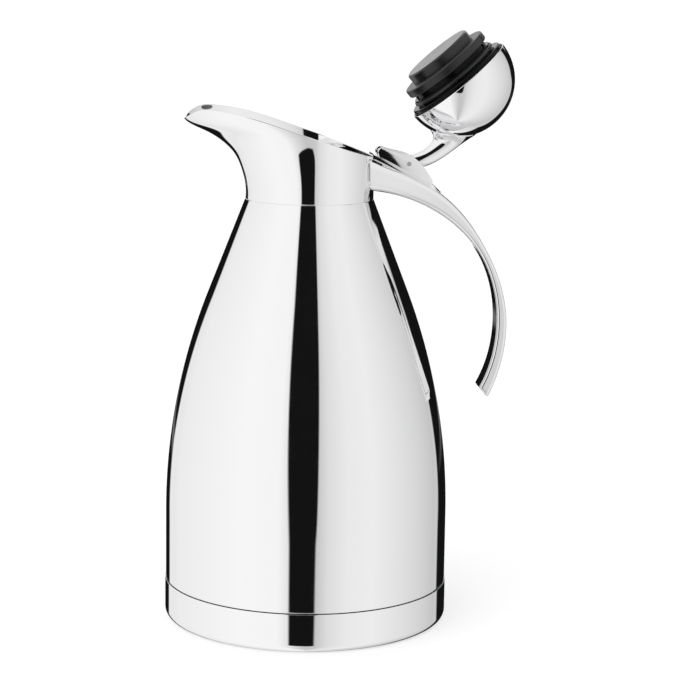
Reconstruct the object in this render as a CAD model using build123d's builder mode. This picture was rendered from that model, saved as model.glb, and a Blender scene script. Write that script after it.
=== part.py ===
from build123d import *
from math import atan2, cos, degrees, hypot, radians, sin
import os

# Thermal carafe: a double-walled vacuum bottle with a spouted collar, a cast handle and a ball lid
# that swings back over the handle on one hinge pin. Millimetres, +Z up, the origin in the middle of
# the face that it stands on, the spout towards -X and the handle towards +X. The lid is open.

# Fits between neighbours
fit = 0.05              # pieces of one body that are pushed or welded together
running_gap = 0.3       # faces that pass each other
pin_play = 0.05         # radial play of the hinge pin in the arm

# Base cup
cup_radius = 75.0
cup_height = 20.3
cup_wall = 0.7
cup_corner = 4.0
foot_width = 6.5        # standing ring, measured in from the cup's wall
foot_recess = 2.6       # height of the cup's floor over the table
foot_bend = 1.3

# Outer shell: straight wall, one long arc, straight shoulder up to the neck
shell_inset = 0.4       # its straight wall lies this far inside the cup's
shell_wall = 0.6
seam_groove = 0.4       # shadow gap over the cup's edge
skirt_lift = 2.2        # lower edge of the skirt over the cup's floor
straight_top = 56.7
shoulder_share = 1.53   # its straight part leans this share of the chord: 1 no arc, 2 all arc
neck_radius = 33.4
neck_height = 223.2

# Inner flask
flask_wall = 0.6
vacuum_gap = 5.5
flask_share = 1.88
flask_neck_inset = 7.4  # its neck lies this far inside the shell's
flask_neck_length = 12.2
flask_neck_bend = 9.0
flask_lip_bend = 3.0
flask_bottom_height = 17.0
flask_bottom_rise = 2.2
flask_rim_height = 3.0
flask_skirt = 5.0       # lower edge of the wall over the dished bottom
dish_flat = 30.0        # radius of the level middle of the flask's dished bottom
dish_bend = 60.0
plate_bend = 3.4

# Vacuum bottom, evacuation seal and getter
vacuum_bottom_height = 11.6
vacuum_rim_lift = 0.5   # over the skirt's lower edge
vacuum_wall = 0.6
pad_rise = 1.4
pad_bend = 0.9
seal_radius = 7.0
seal_thickness = 1.4
getter_radius = 6.0
getter_thickness = 2.2

# Spout collar: level sections as rise over the neck, what the beak and the sides stand out over
# the neck, how far the sides run on before they turn in and how broad the tip is, both as shares
# (0.55 and 0.55 make a round)
collar_wall = 0.7
collar_sections = [
    (0.0, 0.0, 0.0, 0.55, 0.55),
    (8.8, 0.4, 0.0, 0.55, 0.55),
    (16.8, 2.7, 0.0, 0.55, 0.53),
    (23.8, 6.3, 0.1, 0.56, 0.50),
    (29.8, 12.5, 0.8, 0.60, 0.42),
    (34.8, 20.8, 1.8, 0.68, 0.32),
    (38.8, 29.3, 2.6, 0.76, 0.25),
    (42.8, 32.9, 3.3, 0.82, 0.20),
    (49.8, 35.1, 4.4, 0.85, 0.20),
]
rim_back_rise = 22.1    # heights of the rim over the neck
rim_slope = 18.6        # degrees that the mouth rises towards the spout
rim_straight_end = -18.0
rim_crest = (-52.0, 46.8)
rim_tip = (-67.0, 38.8)

# Seat that the bracket and the handle share, from the collar outwards
seat_rise = 20.8        # over the neck, at the collar
seat_slope = 26.5       # degrees that it falls

# Hinge: the pin, and how far the lid swings from open to closed
pin_out = 18.0          # from the collar's wall, and below the seat's upper end
pin_drop = 2.1
pin_radius = 1.25
closing_angle = 116.0
eye_radius = 4.2
eye_half_width = 4.0
eye_clearance = 0.4     # round the eye, in the block that stops the arm

# Ball lid and stopper in the open pose, stations along the plug from the rim of the dome
dome_step = 5.3         # from the plug's wall out to the ball's
dome_wall = 0.7
dome_offset_x = 25.3    # middle of the dome's rim from the pin
dome_offset_z = 43.3
plug_tilt = 40.3        # degrees that the open plug leans towards the spout
flange_gap = 0.6        # from the flange to the inside of the dome
flange_low = -1.4
flange_high = 2.2
flange_round = 1.0
plug_inset = 9.1        # from the neck's wall to the plug's
ring_station = 3.8
ring_thickness = 2.0
ring_depth = 1.6
ring_proud = 0.8
waist_low = 5.6
waist_length = 2.6
waist_inset = 1.7       # waist, core and cap lie this far inside the plug's wall
lip_thickness = 4.4
lip_proud = 0.5
lip_round = 0.8
core_inset = 7.8
cap_height = 5.6
cap_inset = 5.3
cap_wall = 1.8
cap_bevel = 0.8
cap_skirt_inset = 10.8
cap_skirt_wall = 1.2
cap_skirt_length = 3.0
boss_radius = 6.0
boss_depth = 9.0
stud_radius = 4.0
stud_plate_radius = 8.0
stud_plate_thickness = 1.2
screw_radius = 2.0
screw_head_radius = 4.0
screw_head_height = 2.4
screw_floor = 4.0       # station that the centre screw's head seats on
centre_screw_length = 20.0
stud_thread = 9.0
insulation_gap = 0.4
insulation_low = 2.4

# Neck insert that the plug seats on
insert_gap = 0.3
insert_wall = 2.2
insert_rise = 24.3      # sill over the neck that the drink runs over into the spout
seat_gap = 0.3
seat_land = 2.3         # how far the seat reaches in under the lip gasket
pocket_play = 3.6       # round the lip gasket, for the plug's swing
pocket_depth = 7.0
spigot_length = 10.0
spigot_wall = 2.1
gasket_thickness = 1.0
gasket_step_in = 0.6    # from the flask's neck
gasket_step_out = 1.3   # from the inside of the collar

# Handle: middle line in X and Z from the seat's upper end, then stations along it as share of
# length, width, thickness and rounding of the edges
handle_line = [(-8.4, -5.8), (13.5, -12.2), (29.6, -19.7), (44.5, -31.2), (56.3, -45.8),
               (64.5, -62.8), (68.3, -81.4), (67.3, -100.4), (63.6, -114.1), (55.4, -130.0)]
handle_stations = [(0.0, 35.5, 19.2, 6.0), (0.14, 28.0, 12.4, 4.0), (0.24, 23.0, 10.0, 3.0),
                   (0.36, 19.5, 6.7, 2.2), (0.47, 17.5, 4.1, 1.5), (0.58, 16.5, 4.1, 1.4),
                   (0.72, 16.0, 5.3, 1.5), (0.86, 16.0, 5.9, 1.6), (1.0, 16.0, 7.8, 1.8)]
tail_share = 0.952      # where the tail is cut off, as share of the line
tail_lean = 46.0        # degrees that the cut's face is turned up from +X
tail_round = 1.0

# Hinge bracket on top of the handle, its cheeks and its stop outlined in X and Z from the pin,
# and at their backs from the foot of the cheek's tail
strip_thickness = 2.0
strip_length = 39.5
strip_root = 3.0        # how far the strip runs in before the collar trims it
strip_root_width = 20.0
strip_tail_width = 16.5
strip_bevel = 5.0
cheek_thickness = 2.6
cheek_nose_along = 2.4
cheek_tail_inset = 5.7  # foot of the cheek's tail, from the strip's end
cheek_toe = (-0.5, 3.6)
cheek_nose = (-16.8, 5.7)
cheek_brow = (-16.0, 7.7)
cheek_crown = (-13.8, 8.4)
cheek_back = [(-5.4, 6.1), (2.1, 3.5), (6.6, -0.5)]
stop_outline = [(2.6, -7.9), (2.6, -3.9), (8.0, -2.3)]
stop_back = [(-2.7, 6.2), (-2.7, 1.2)]
pin_proud = 0.3

# Lid arm: middle line in X and Z from the pin, its end from the middle of the dome, then stations
# as for the handle
arm_line = [(1.2, 0.8), (9.4, 2.9), (16.9, 8.5)]
arm_end = (-1.9, -24.2)
arm_stations = [(0.0, 7.4, 7.4), (0.33, 8.0, 8.8), (0.66, 8.4, 12.2), (1.0, 18.0, 23.0)]

# Small screws
bracket_screw_radius = 1.5
bracket_screw_head = 2.8
bracket_screw_length = 8.0
bracket_screw_places = (5.0, 11.5)   # along the strip from its root
handle_screw_radius = 2.0
handle_screw_head = 3.2
handle_screw_head_height = 1.3
handle_screw_lift = 0.2 # flat heads stand off the round wall
handle_screw_length = 8.0
handle_screw_drop = 9.5 # below the seat's upper end
handle_screw_angle = 12.0
arm_screw_radius = 1.5
arm_screw_head = 2.8
arm_screw_head_height = 1.5
arm_screw_length = 5.0
arm_screw_spread = 17.0 # degrees between the two screws, seen from the middle of the dome
arm_screw_lean = 262.0
arm_screw_lift = 0.2

os.makedirs("parts", exist_ok=True)


def finish(piece, label):
    """Label a finished piece and write it as its own file."""
    piece.part.label = label
    export_step(piece.part, f"parts/{label}.step")


def shoulder_turn(radius, arc_start, neck, neck_low, share):
    """Angle from upright, in radians, of the straight shoulder between a wall's arc and a neck."""
    return share * atan2(radius - neck, neck_low - arc_start)


def bottle_side(radius, low, arc_start, neck, neck_low, share):
    """Draw a bottle's wall and its arc, and give the point where the straight shoulder starts."""
    turn = shoulder_turn(radius, arc_start, neck, neck_low, share)
    rise, inwards = (neck_low - arc_start) * sin(turn), (radius - neck) * cos(turn)
    arc_radius = (rise - inwards) / (1 - cos(turn))
    Line((radius, low), (radius, arc_start))
    bend = CenterArc((radius - arc_radius, arc_start), arc_radius, 0, degrees(turn))
    return bend @ 1


def mouth_face(rise, beak, swell, run, breadth, inset_front, inset_side):
    """Level section of the collar: round at the back, drawn out to a beak at the front."""
    tip = neck_radius + beak - inset_front
    side = neck_radius + swell - inset_side
    turn_in = -run * tip
    tip_side = breadth * side
    with BuildSketch(Plane.XY.offset(neck_height + rise)) as section:
        with BuildLine():
            EllipticalCenterArc((0, 0), neck_radius - inset_side, side, start_angle=-90, arc_size=180)
            Bezier((0, side), (turn_in, side), (-tip, tip_side), (-tip, 0))
            Bezier((-tip, 0), (-tip, -tip_side), (turn_in, -side), (0, -side))
        make_face()
    return section.sketch


def collar_block(inset):
    """Solid inside of the collar's outer face moved inwards by inset, higher than the rim."""
    last = len(collar_sections) - 1
    faces = []
    for i, section in enumerate(collar_sections):
        below, above = collar_sections[max(i - 1, 0)], collar_sections[min(i + 1, last)]
        lean = (above[1] - below[1]) / (above[0] - below[0])
        faces.append(mouth_face(*section, inset * hypot(1, lean), inset))
    with BuildPart() as block:
        loft(faces)
    return block.part


def from_point(start, steps):
    """Points of the XZ plane given as steps from a start."""
    return [(start[0] + across, start[1] + up) for across, up in steps]


def middle_line(points):
    """Smooth line through points of the XZ plane."""
    with BuildLine(Plane.XZ) as middle:
        Spline(*points)
    return middle.line


def bar(line, stations):
    """Bar along a middle line, from stations whose edges are rounded, or that are oval without it."""
    faces = []
    for share, width, thickness, *edge_round in stations:
        across = Plane(origin=line @ share, x_dir=(0, 1, 0), z_dir=line % share)
        with BuildSketch(across) as section:
            if edge_round:
                RectangleRounded(width, thickness, *edge_round)
            else:
                Ellipse(width / 2, thickness / 2)
        faces.append(section.sketch)
    with BuildPart() as solid:
        loft(faces)
    return solid.part


def pan_screw(place, radius, length, head_radius, head_height):
    """Screw whose head stands over the place's plane and whose shank goes down through it."""
    with Locations(place):
        Cylinder(head_radius, head_height, align=(Align.CENTER, Align.CENTER, Align.MIN))
        Cylinder(radius, length, align=(Align.CENTER, Align.CENTER, Align.MAX))


# Seat of the bracket on the handle: its origin on the collar's wall, its x falling outwards
slope = radians(seat_slope)
seat_end = (neck_radius, neck_height + seat_rise)
seat = Plane(origin=(seat_end[0], 0, seat_end[1]), x_dir=(cos(slope), 0, -sin(slope)),
             z_dir=(sin(slope), 0, cos(slope)))
pin_x = neck_radius + pin_out
pin_z = seat_end[1] - pin_drop
pin = (pin_x, pin_z)

# The open lid's section plane: its x runs across the plug and its y along it
tilt = radians(plug_tilt)
dome_x = pin_x + dome_offset_x
dome_z = pin_z + dome_offset_z
lid_plane = Plane(origin=(dome_x, 0, dome_z), x_dir=(cos(tilt), 0, sin(tilt)), z_dir=(0, -1, 0))
plug_axis = Axis((dome_x, 0, dome_z), (-sin(tilt), 0, cos(tilt)))

# The closed plug, which the seat is made for
swing = Axis((0, 0, 0), (0, -1, 0))
closed_middle = Vector(pin_x, 0, pin_z) + Vector(dome_offset_x, 0, dome_offset_z).rotate(
    swing, closing_angle
)
closed_direction = plug_axis.direction.rotate(swing, closing_angle)


def plug_station(station):
    """Plane across the closed plug at a station, facing into the bottle."""
    return Plane(origin=closed_middle + closed_direction * station, x_dir=(0, 1, 0),
                 z_dir=closed_direction)


plug_radius = neck_radius - plug_inset
dome_radius = plug_radius + dome_step
lip_low = waist_low + waist_length
lip_high = lip_low + lip_thickness
lip_radius = plug_radius + lip_proud
seat_station = lip_high + seat_gap


def strip_place(along):
    """Place on top of the hinge strip, by the distance from the collar."""
    origin = seat.from_local_coords(Vector(along, 0, strip_thickness))
    return Plane(origin=origin, x_dir=seat.x_dir, z_dir=seat.z_dir).location


def collar_place(angle):
    """Place of a handle screw's head inside the collar, facing the middle of the bottle."""
    turn = radians(angle)
    reach = neck_radius - collar_wall - handle_screw_lift
    return Plane(origin=(reach * cos(turn), reach * sin(turn), seat_end[1] - handle_screw_drop),
                 x_dir=(0, 0, 1), z_dir=(-cos(turn), -sin(turn), 0)).location


def arm_place(turn):
    """Place of an arm screw's head inside the dome, facing the middle of the dome."""
    lean = radians(arm_screw_lean + turn)
    reach = dome_radius - dome_wall - arm_screw_lift
    return Plane(origin=(dome_x + reach * cos(lean), 0, dome_z + reach * sin(lean)),
                 x_dir=(0, 1, 0), z_dir=(-cos(lean), 0, -sin(lean))).location


handle_screw_places = [collar_place(side * handle_screw_angle) for side in (-1, 1)]
arm_screw_places = [arm_place(side * arm_screw_spread / 2) for side in (-1, 1)]

# Base cup
foot_outer = cup_radius - foot_width
with BuildPart() as base_cup:
    with BuildSketch(Plane.XZ):
        with BuildLine():
            FilletPolyline(
                (0, foot_recess), (foot_outer - foot_recess, foot_recess), (foot_outer, 0),
                (cup_radius, 0), (cup_radius, cup_height),
                radius=[foot_bend, foot_bend, cup_corner],
            )
            offset(amount=cup_wall, side=Side.LEFT)
        make_face()
    revolve(axis=Axis.Z)
finish(base_cup, "base_cup")

# Outer shell, with the skirt that the cup slides over
shell_radius = cup_radius - shell_inset
skirt_radius = cup_radius - cup_wall - fit
skirt_bottom = foot_recess + cup_wall + skirt_lift
with BuildPart() as outer_shell:
    with BuildSketch(Plane.XZ):
        with BuildLine():
            shoulder = bottle_side(shell_radius, cup_height + seam_groove, straight_top,
                                   neck_radius, neck_height, shoulder_share)
            Line(shoulder, (neck_radius, neck_height))
            offset(amount=shell_wall, side=Side.LEFT)
        make_face()
        with Locations((skirt_radius - shell_wall / 2, skirt_bottom)):
            Rectangle(shell_wall, cup_height + 2 * seam_groove - skirt_bottom,
                      align=(Align.CENTER, Align.MIN))
    revolve(axis=Axis.Z)
    split(bisect_by=Plane.XY.offset(neck_height), keep=Keep.BOTTOM)
finish(outer_shell, "outer_shell")

# Vacuum bottom, pressed into the skirt, with a raised pad for the evacuation seal
vacuum_radius = skirt_radius - shell_wall - fit
pad_height = vacuum_bottom_height + pad_rise
with BuildPart() as vacuum_bottom:
    with BuildSketch(Plane.XZ):
        with BuildLine():
            FilletPolyline(
                (vacuum_radius, skirt_bottom + vacuum_rim_lift),
                (vacuum_radius, vacuum_bottom_height),
                (seal_radius + 2 * pad_rise, vacuum_bottom_height),
                (seal_radius + pad_rise, pad_height), (0, pad_height),
                radius=[plate_bend, pad_bend, pad_bend],
            )
            offset(amount=vacuum_wall, side=Side.LEFT)
        make_face()
    revolve(axis=Axis.Z)
finish(vacuum_bottom, "vacuum_bottom")

# Disc that closes the hole through which the bottle was pumped out
with BuildPart() as evacuation_seal:
    with BuildSketch(Plane.XY.offset(pad_height - vacuum_wall)):
        Circle(seal_radius)
    extrude(amount=-seal_thickness)
    chamfer(evacuation_seal.faces().sort_by(Axis.Z)[0].edges(), seal_thickness / 3)
finish(evacuation_seal, "evacuation_seal")

# Inner flask, whose lip closes the vacuum space under the collar
flask_radius = shell_radius - shell_wall - vacuum_gap
flask_low = flask_bottom_height + flask_skirt
flask_neck_radius = neck_radius - flask_neck_inset
flask_neck_start = neck_height - flask_neck_length
turn = shoulder_turn(shell_radius, straight_top, neck_radius, neck_height, shoulder_share)
lip_reach = neck_radius - shell_wall / cos(turn) - fit
with BuildPart() as inner_flask:
    with BuildSketch(Plane.XZ):
        with BuildLine():
            shoulder = bottle_side(flask_radius, flask_low, straight_top, flask_neck_radius,
                                   flask_neck_start, flask_share)
            FilletPolyline(
                shoulder, (flask_neck_radius, flask_neck_start),
                (flask_neck_radius, neck_height - flask_wall), (lip_reach, neck_height - flask_wall),
                radius=[flask_neck_bend, flask_lip_bend],
            )
            offset(amount=flask_wall, side=Side.LEFT)
        make_face()
    revolve(axis=Axis.Z)
finish(inner_flask, "inner_flask")

# Bottom of the inner flask, a shallow dish welded inside its wall
dish_radius = flask_radius - flask_wall - fit
with BuildPart() as inner_flask_bottom:
    with BuildSketch(Plane.XZ):
        with BuildLine():
            FilletPolyline(
                (0, flask_bottom_height), (dish_flat, flask_bottom_height),
                (dish_radius, flask_bottom_height + flask_bottom_rise),
                (dish_radius, flask_low + flask_rim_height),
                radius=[dish_bend, plate_bend],
            )
            offset(amount=flask_wall, side=Side.LEFT)
        make_face()
    revolve(axis=Axis.Z)
finish(inner_flask_bottom, "inner_flask_bottom")

# Getter pellet in its cup, under the flask in the vacuum space
with BuildPart() as getter:
    with BuildSketch(Plane.XY.offset(flask_bottom_height)):
        Circle(getter_radius)
    extrude(amount=-getter_thickness)
    fillet(getter.faces().sort_by(Axis.Z)[0].edges(), getter_thickness / 3)
finish(getter, "getter")

# Everything over the slanted rim of the mouth
rise = sin(radians(rim_slope)) / cos(radians(rim_slope))
clear = 10.0            # past the collar on every side
behind = neck_radius + clear
ahead = -neck_radius - collar_sections[-1][1] - clear
above_all = neck_height + collar_sections[-1][0] + clear
rim_back = neck_height + rim_back_rise
crest_point = (rim_crest[0], neck_height + rim_crest[1])
tip_point = (rim_tip[0], neck_height + rim_tip[1])
with BuildPart() as over_rim:
    with BuildSketch(Plane.XZ):
        with BuildLine():
            straight = Line((behind, rim_back - clear * rise),
                            (rim_straight_end, rim_back + (neck_radius - rim_straight_end) * rise))
            crest = TangentArc(straight @ 1, crest_point, tangent=straight % 1)
            fall = TangentArc(crest @ 1, tip_point, tangent=crest % 1)
            Polyline(fall @ 1, (ahead, tip_point[1]), (ahead, above_all), (behind, above_all),
                     straight @ 0)
        make_face()
    extrude(amount=2 * neck_radius, both=True)

# Spout collar
with BuildPart() as spout_collar:
    add(collar_block(0))
    add(collar_block(collar_wall), mode=Mode.SUBTRACT)
    add(over_rim.part, mode=Mode.SUBTRACT)
    with Locations(handle_screw_places):
        Hole(handle_screw_radius + fit, depth=2 * handle_screw_length, mode=Mode.SUBTRACT)
finish(spout_collar, "spout_collar")

# Flat ring between the flask's lip and the neck insert
with BuildPart() as neck_gasket:
    with BuildSketch(Plane.XY.offset(neck_height)):
        Circle(neck_radius - collar_wall - gasket_step_out)
        Circle(flask_neck_radius + gasket_step_in, mode=Mode.SUBTRACT)
    extrude(amount=gasket_thickness)
finish(neck_gasket, "neck_gasket")

# Neck insert: a hollow wedge under the slanted seat, with the bore to the flask and a spigot
insert_low = neck_height + gasket_thickness
spigot_low = insert_low - spigot_length
spigot_radius = flask_neck_radius - flask_wall - insert_gap
seat_opening = lip_radius - seat_land
inset = collar_wall + insert_gap
with BuildPart() as bore:
    with BuildSketch(plug_station(seat_station)) as seat_mouth:
        Circle(seat_opening)
    with BuildSketch(Plane.XY.offset(spigot_low)) as spigot_mouth:
        Circle(spigot_radius - spigot_wall)
    loft([spigot_mouth.sketch, seat_mouth.sketch])
with BuildPart() as tube:
    with BuildSketch(plug_station(seat_station)) as tube_top:
        Circle(seat_opening + insert_wall)
    with BuildSketch(Plane.XY.offset(insert_low)) as tube_end:
        Circle(spigot_radius)
    loft([tube_end.sketch, tube_top.sketch])
with BuildPart() as hollow:
    add(collar_block(inset + insert_wall))
    split(bisect_by=plug_station(seat_station + insert_wall), keep=Keep.TOP)
    add(tube.part, mode=Mode.SUBTRACT)
with BuildPart() as neck_insert:
    add(collar_block(inset))
    split(bisect_by=plug_station(seat_station - pocket_depth), keep=Keep.TOP)
    split(bisect_by=Plane.XY.offset(insert_low), keep=Keep.TOP)
    split(bisect_by=Plane.XY.offset(neck_height + insert_rise), keep=Keep.BOTTOM)
    add(hollow.part, mode=Mode.SUBTRACT)
    with BuildSketch(Plane.XY.offset(spigot_low)):
        Circle(spigot_radius)
    extrude(amount=spigot_length + insert_wall)
    with BuildSketch(plug_station(seat_station)):
        Circle(lip_radius + pocket_play)
    extrude(amount=-3 * pocket_depth, mode=Mode.SUBTRACT)
    add(bore.part, mode=Mode.SUBTRACT)
finish(neck_insert, "neck_insert")

# Cast handle: a flat bar that thickens towards the collar, saddles it and is cut off at its tail
handle_middle = middle_line(from_point(seat_end, handle_line))
lean = radians(tail_lean)
tail = Plane(origin=handle_middle @ tail_share, x_dir=(0, 1, 0), z_dir=(cos(lean), 0, sin(lean)))
with BuildPart() as handle:
    add(bar(handle_middle, handle_stations))
    split(bisect_by=seat, keep=Keep.BOTTOM)
    split(bisect_by=tail, keep=Keep.TOP)
    fillet(handle.faces().sort_by(Axis.Z)[0].edges(), tail_round)
    add(collar_block(-fit), mode=Mode.SUBTRACT)
    for place in handle_screw_places:
        with Locations(place):
            Cylinder(handle_screw_radius + fit, handle_screw_length + 2 * fit,
                     align=(Align.CENTER, Align.CENTER, Align.MAX), mode=Mode.SUBTRACT)
    for along in bracket_screw_places:
        with Locations(strip_place(along)):
            Cylinder(bracket_screw_radius + fit, bracket_screw_length + 2 * fit,
                     align=(Align.CENTER, Align.CENTER, Align.MAX), mode=Mode.SUBTRACT)
finish(handle, "handle")

with BuildPart() as handle_screws:
    for place in handle_screw_places:
        pan_screw(place, handle_screw_radius, handle_screw_length, handle_screw_head,
                  handle_screw_head_height)
finish(handle_screws, "handle_screws")

# Hinge bracket: a strip on the handle's flat with two cheeks for the pin
cheek_inner = eye_half_width + running_gap
straight_end = strip_length - strip_tail_width / 2
with BuildPart() as strip:
    with BuildSketch(seat):
        with BuildLine():
            Polyline((straight_end, -strip_tail_width / 2), (-strip_root, -strip_root_width / 2),
                     (-strip_root, strip_root_width / 2), (straight_end, strip_tail_width / 2))
            ThreePointArc((straight_end, strip_tail_width / 2), (strip_length, 0),
                          (straight_end, -strip_tail_width / 2))
        make_face()
    extrude(amount=strip_thickness)
    chamfer(strip.edges().filter_by(GeomType.CIRCLE).sort_by(Axis.Z)[-1:], strip_thickness * 0.8,
            strip_bevel)
strip_top = [seat.from_local_coords(Vector(along, 0, strip_thickness / 2))
             for along in (cheek_nose_along, strip_length - cheek_tail_inset)]
cheek_points = from_point(pin, (cheek_nose, cheek_brow, cheek_crown))
toe_point, *stop_end = from_point((strip_top[1].X, strip_top[1].Z), [cheek_toe, *stop_back])
with BuildPart() as hinge_bracket:
    add(strip.part)
    with BuildSketch(Plane.XZ.offset(cheek_inner)):
        with BuildLine():
            root = Line((strip_top[1].X, strip_top[1].Z), (strip_top[0].X, strip_top[0].Z))
            nose = Line(root @ 1, cheek_points[0])
            brow = ThreePointArc(*cheek_points)
            back = Spline(brow @ 1, *from_point(pin, cheek_back), toe_point)
            Line(back @ 1, root @ 0)
        make_face()
    extrude(amount=cheek_thickness)
    mirror(about=Plane.XZ)
    with BuildSketch(Plane.XZ.offset(cheek_inner)):
        Polygon(*from_point(pin, stop_outline), *stop_end, align=None)
    extrude(amount=-2 * cheek_inner)
    with BuildSketch(Plane.XZ.offset(cheek_inner)):
        with Locations(pin):
            Circle(eye_radius + eye_clearance)
    extrude(amount=-2 * cheek_inner, mode=Mode.SUBTRACT)
    with BuildSketch(Plane.XZ.offset(cheek_inner + cheek_thickness)):
        with Locations(pin):
            Circle(pin_radius + fit)
    extrude(amount=-2 * (cheek_inner + cheek_thickness), mode=Mode.SUBTRACT)
    add(collar_block(-fit), mode=Mode.SUBTRACT)
    for along in bracket_screw_places:
        with Locations(strip_place(along)):
            CounterSinkHole(bracket_screw_radius + fit, bracket_screw_head + fit,
                            depth=2 * strip_thickness)
finish(hinge_bracket, "hinge_bracket")

# Countersunk screws that hold the bracket on the handle
with BuildPart() as bracket_screws:
    for along in bracket_screw_places:
        with Locations(strip_place(along)):
            Cone(bracket_screw_radius, bracket_screw_head,
                 bracket_screw_head - bracket_screw_radius,
                 align=(Align.CENTER, Align.CENTER, Align.MAX))
            Cylinder(bracket_screw_radius, bracket_screw_length,
                     align=(Align.CENTER, Align.CENTER, Align.MAX))
finish(bracket_screws, "bracket_screws")

# Hinge pin through both cheeks and the arm's eye
pin_half = cheek_inner + cheek_thickness + pin_proud
with BuildPart() as hinge_pin:
    with BuildSketch(Plane.XZ.offset(-pin_half)):
        with Locations(pin):
            Circle(pin_radius)
    extrude(amount=2 * pin_half)
    fillet(hinge_pin.edges().filter_by(GeomType.CIRCLE), pin_proud)
finish(hinge_pin, "hinge_pin")

# Lid arm: the eye on the pin, a gooseneck and the flare that is saddled on the dome
arm_points = from_point(pin, arm_line) + from_point((dome_x, dome_z), [arm_end])
with BuildPart() as lid_arm:
    add(bar(middle_line(arm_points), arm_stations))
    with BuildSketch(Plane.XZ.offset(eye_half_width)):
        with Locations(pin):
            Circle(eye_radius)
    extrude(amount=-2 * eye_half_width)
    with BuildSketch(Plane.XZ.offset(2 * eye_half_width)):
        with Locations(pin):
            Circle(pin_radius + pin_play)
    extrude(amount=-4 * eye_half_width, mode=Mode.SUBTRACT)
    with Locations((dome_x, 0, dome_z)):
        Sphere(dome_radius, mode=Mode.SUBTRACT)
    for place in arm_screw_places:
        with Locations(place):
            Cylinder(arm_screw_radius + fit, arm_screw_length + 2 * fit,
                     align=(Align.CENTER, Align.CENTER, Align.MAX), mode=Mode.SUBTRACT)
finish(lid_arm, "lid_arm")

with BuildPart() as arm_screws:
    for place in arm_screw_places:
        pan_screw(place, arm_screw_radius, arm_screw_length, arm_screw_head, arm_screw_head_height)
finish(arm_screws, "arm_screws")

# Ball of the lid
dome_inner = dome_radius - dome_wall
with BuildPart() as lid_dome:
    with BuildSketch(lid_plane):
        with BuildLine():
            CenterArc((0, 0), dome_radius, -90, 90)
            Line((dome_radius, 0), (dome_inner, 0))
            CenterArc((0, 0), dome_inner, -90, 90)
            Line((0, -dome_inner), (0, -dome_radius))
        make_face()
    revolve(axis=plug_axis)
    for place in arm_screw_places:
        with Locations(place):
            Cylinder(arm_screw_radius + fit, 2 * arm_screw_length, mode=Mode.SUBTRACT)
finish(lid_dome, "lid_dome")


def turned(rings, holes=()):
    """Revolve rings about the plug: inner radius, outer radius, low and high station of each."""
    with BuildPart() as solid:
        with BuildSketch(lid_plane):
            for mode, group in ((Mode.ADD, rings), (Mode.SUBTRACT, holes)):
                for inner, outer, low, high in group:
                    with Locations((inner, low)):
                        Rectangle(outer - inner, high - low, align=(Align.MIN, Align.MIN), mode=mode)
        revolve(axis=plug_axis)
    return solid.part


# Stud welded in the top of the ball, tapped for the centre screw
stud_plate_low = -(dome_inner ** 2 - stud_plate_radius ** 2) ** 0.5 + fit
with BuildPart() as dome_stud:
    add(turned(
        [(0, stud_plate_radius, stud_plate_low, stud_plate_low + stud_plate_thickness),
         (0, stud_radius, stud_plate_low, -boss_depth - fit)],
        [(0, screw_radius + fit, -boss_depth - stud_thread, -boss_depth)],
    ))
finish(dome_stud, "dome_stud")

# Foam that fills the ball round the stud
foam_radius = dome_inner - insulation_gap
with BuildPart() as dome_insulation:
    with BuildSketch(lid_plane):
        with BuildLine():
            CenterArc((0, 0), foam_radius, -90, 90)
            Line((foam_radius, 0), (0, 0))
            Line((0, 0), (0, -foam_radius))
        make_face()
        Rectangle(stud_plate_radius + insulation_gap, 2 * dome_radius, mode=Mode.SUBTRACT,
                  align=(Align.MIN, Align.CENTER))
        Rectangle(2 * dome_radius, insulation_low, mode=Mode.SUBTRACT, align=(Align.MIN, Align.MAX))
    revolve(axis=plug_axis)
    for place in arm_screw_places:
        with Locations(place):
            Cylinder(arm_screw_head + insulation_gap, 2 * arm_screw_head_height, mode=Mode.SUBTRACT)
finish(dome_insulation, "dome_insulation")

# Moulded stopper: flange, plug with the ring groove, waist, core and boss
waist_radius = plug_radius - waist_inset
core_radius = plug_radius - core_inset
cap_radius = plug_radius - cap_inset
cap_skirt_radius = plug_radius - cap_skirt_inset
cap_skirt_inner = cap_skirt_radius - cap_skirt_wall
flange_radius = dome_inner - flange_gap
ring_inner = plug_radius + ring_proud - ring_depth
ring_low = ring_station - ring_thickness / 2
ring_high = ring_station + ring_thickness / 2
with BuildPart() as stopper_body:
    add(turned(
        [(0, boss_radius, -boss_depth, flange_low), (0, flange_radius, flange_low, flange_high),
         (0, plug_radius, flange_high, waist_low), (0, waist_radius, waist_low, lip_low),
         (0, core_radius, lip_low, lip_high)],
        [(0, screw_radius + 2 * fit, -boss_depth, lip_high),
         (0, screw_head_radius + running_gap, screw_floor, lip_high),
         (ring_inner, plug_radius, ring_low, ring_high),
         (cap_skirt_inner - fit, cap_skirt_radius + fit, lip_high - cap_skirt_length - fit, lip_high)],
    ))
    rims = stopper_body.edges().filter_by(GeomType.CIRCLE).group_by(SortBy.RADIUS)[-1]
    fillet(rims, flange_round)
finish(stopper_body, "stopper_body")

with BuildPart() as ring_gasket:
    add(turned([(ring_inner + fit, plug_radius + ring_proud, ring_low + fit, ring_high - fit)]))
    rims = ring_gasket.edges().filter_by(GeomType.CIRCLE).group_by(SortBy.RADIUS)[-1]
    fillet(rims, ring_thickness / 3)
finish(ring_gasket, "ring_gasket")

with BuildPart() as lip_gasket:
    add(turned([(core_radius + fit, lip_radius, lip_low, lip_high)]))
    rims = lip_gasket.edges().filter_by(GeomType.CIRCLE).group_by(SortBy.RADIUS)[-1]
    fillet(rims, lip_round)
finish(lip_gasket, "lip_gasket")

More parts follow.
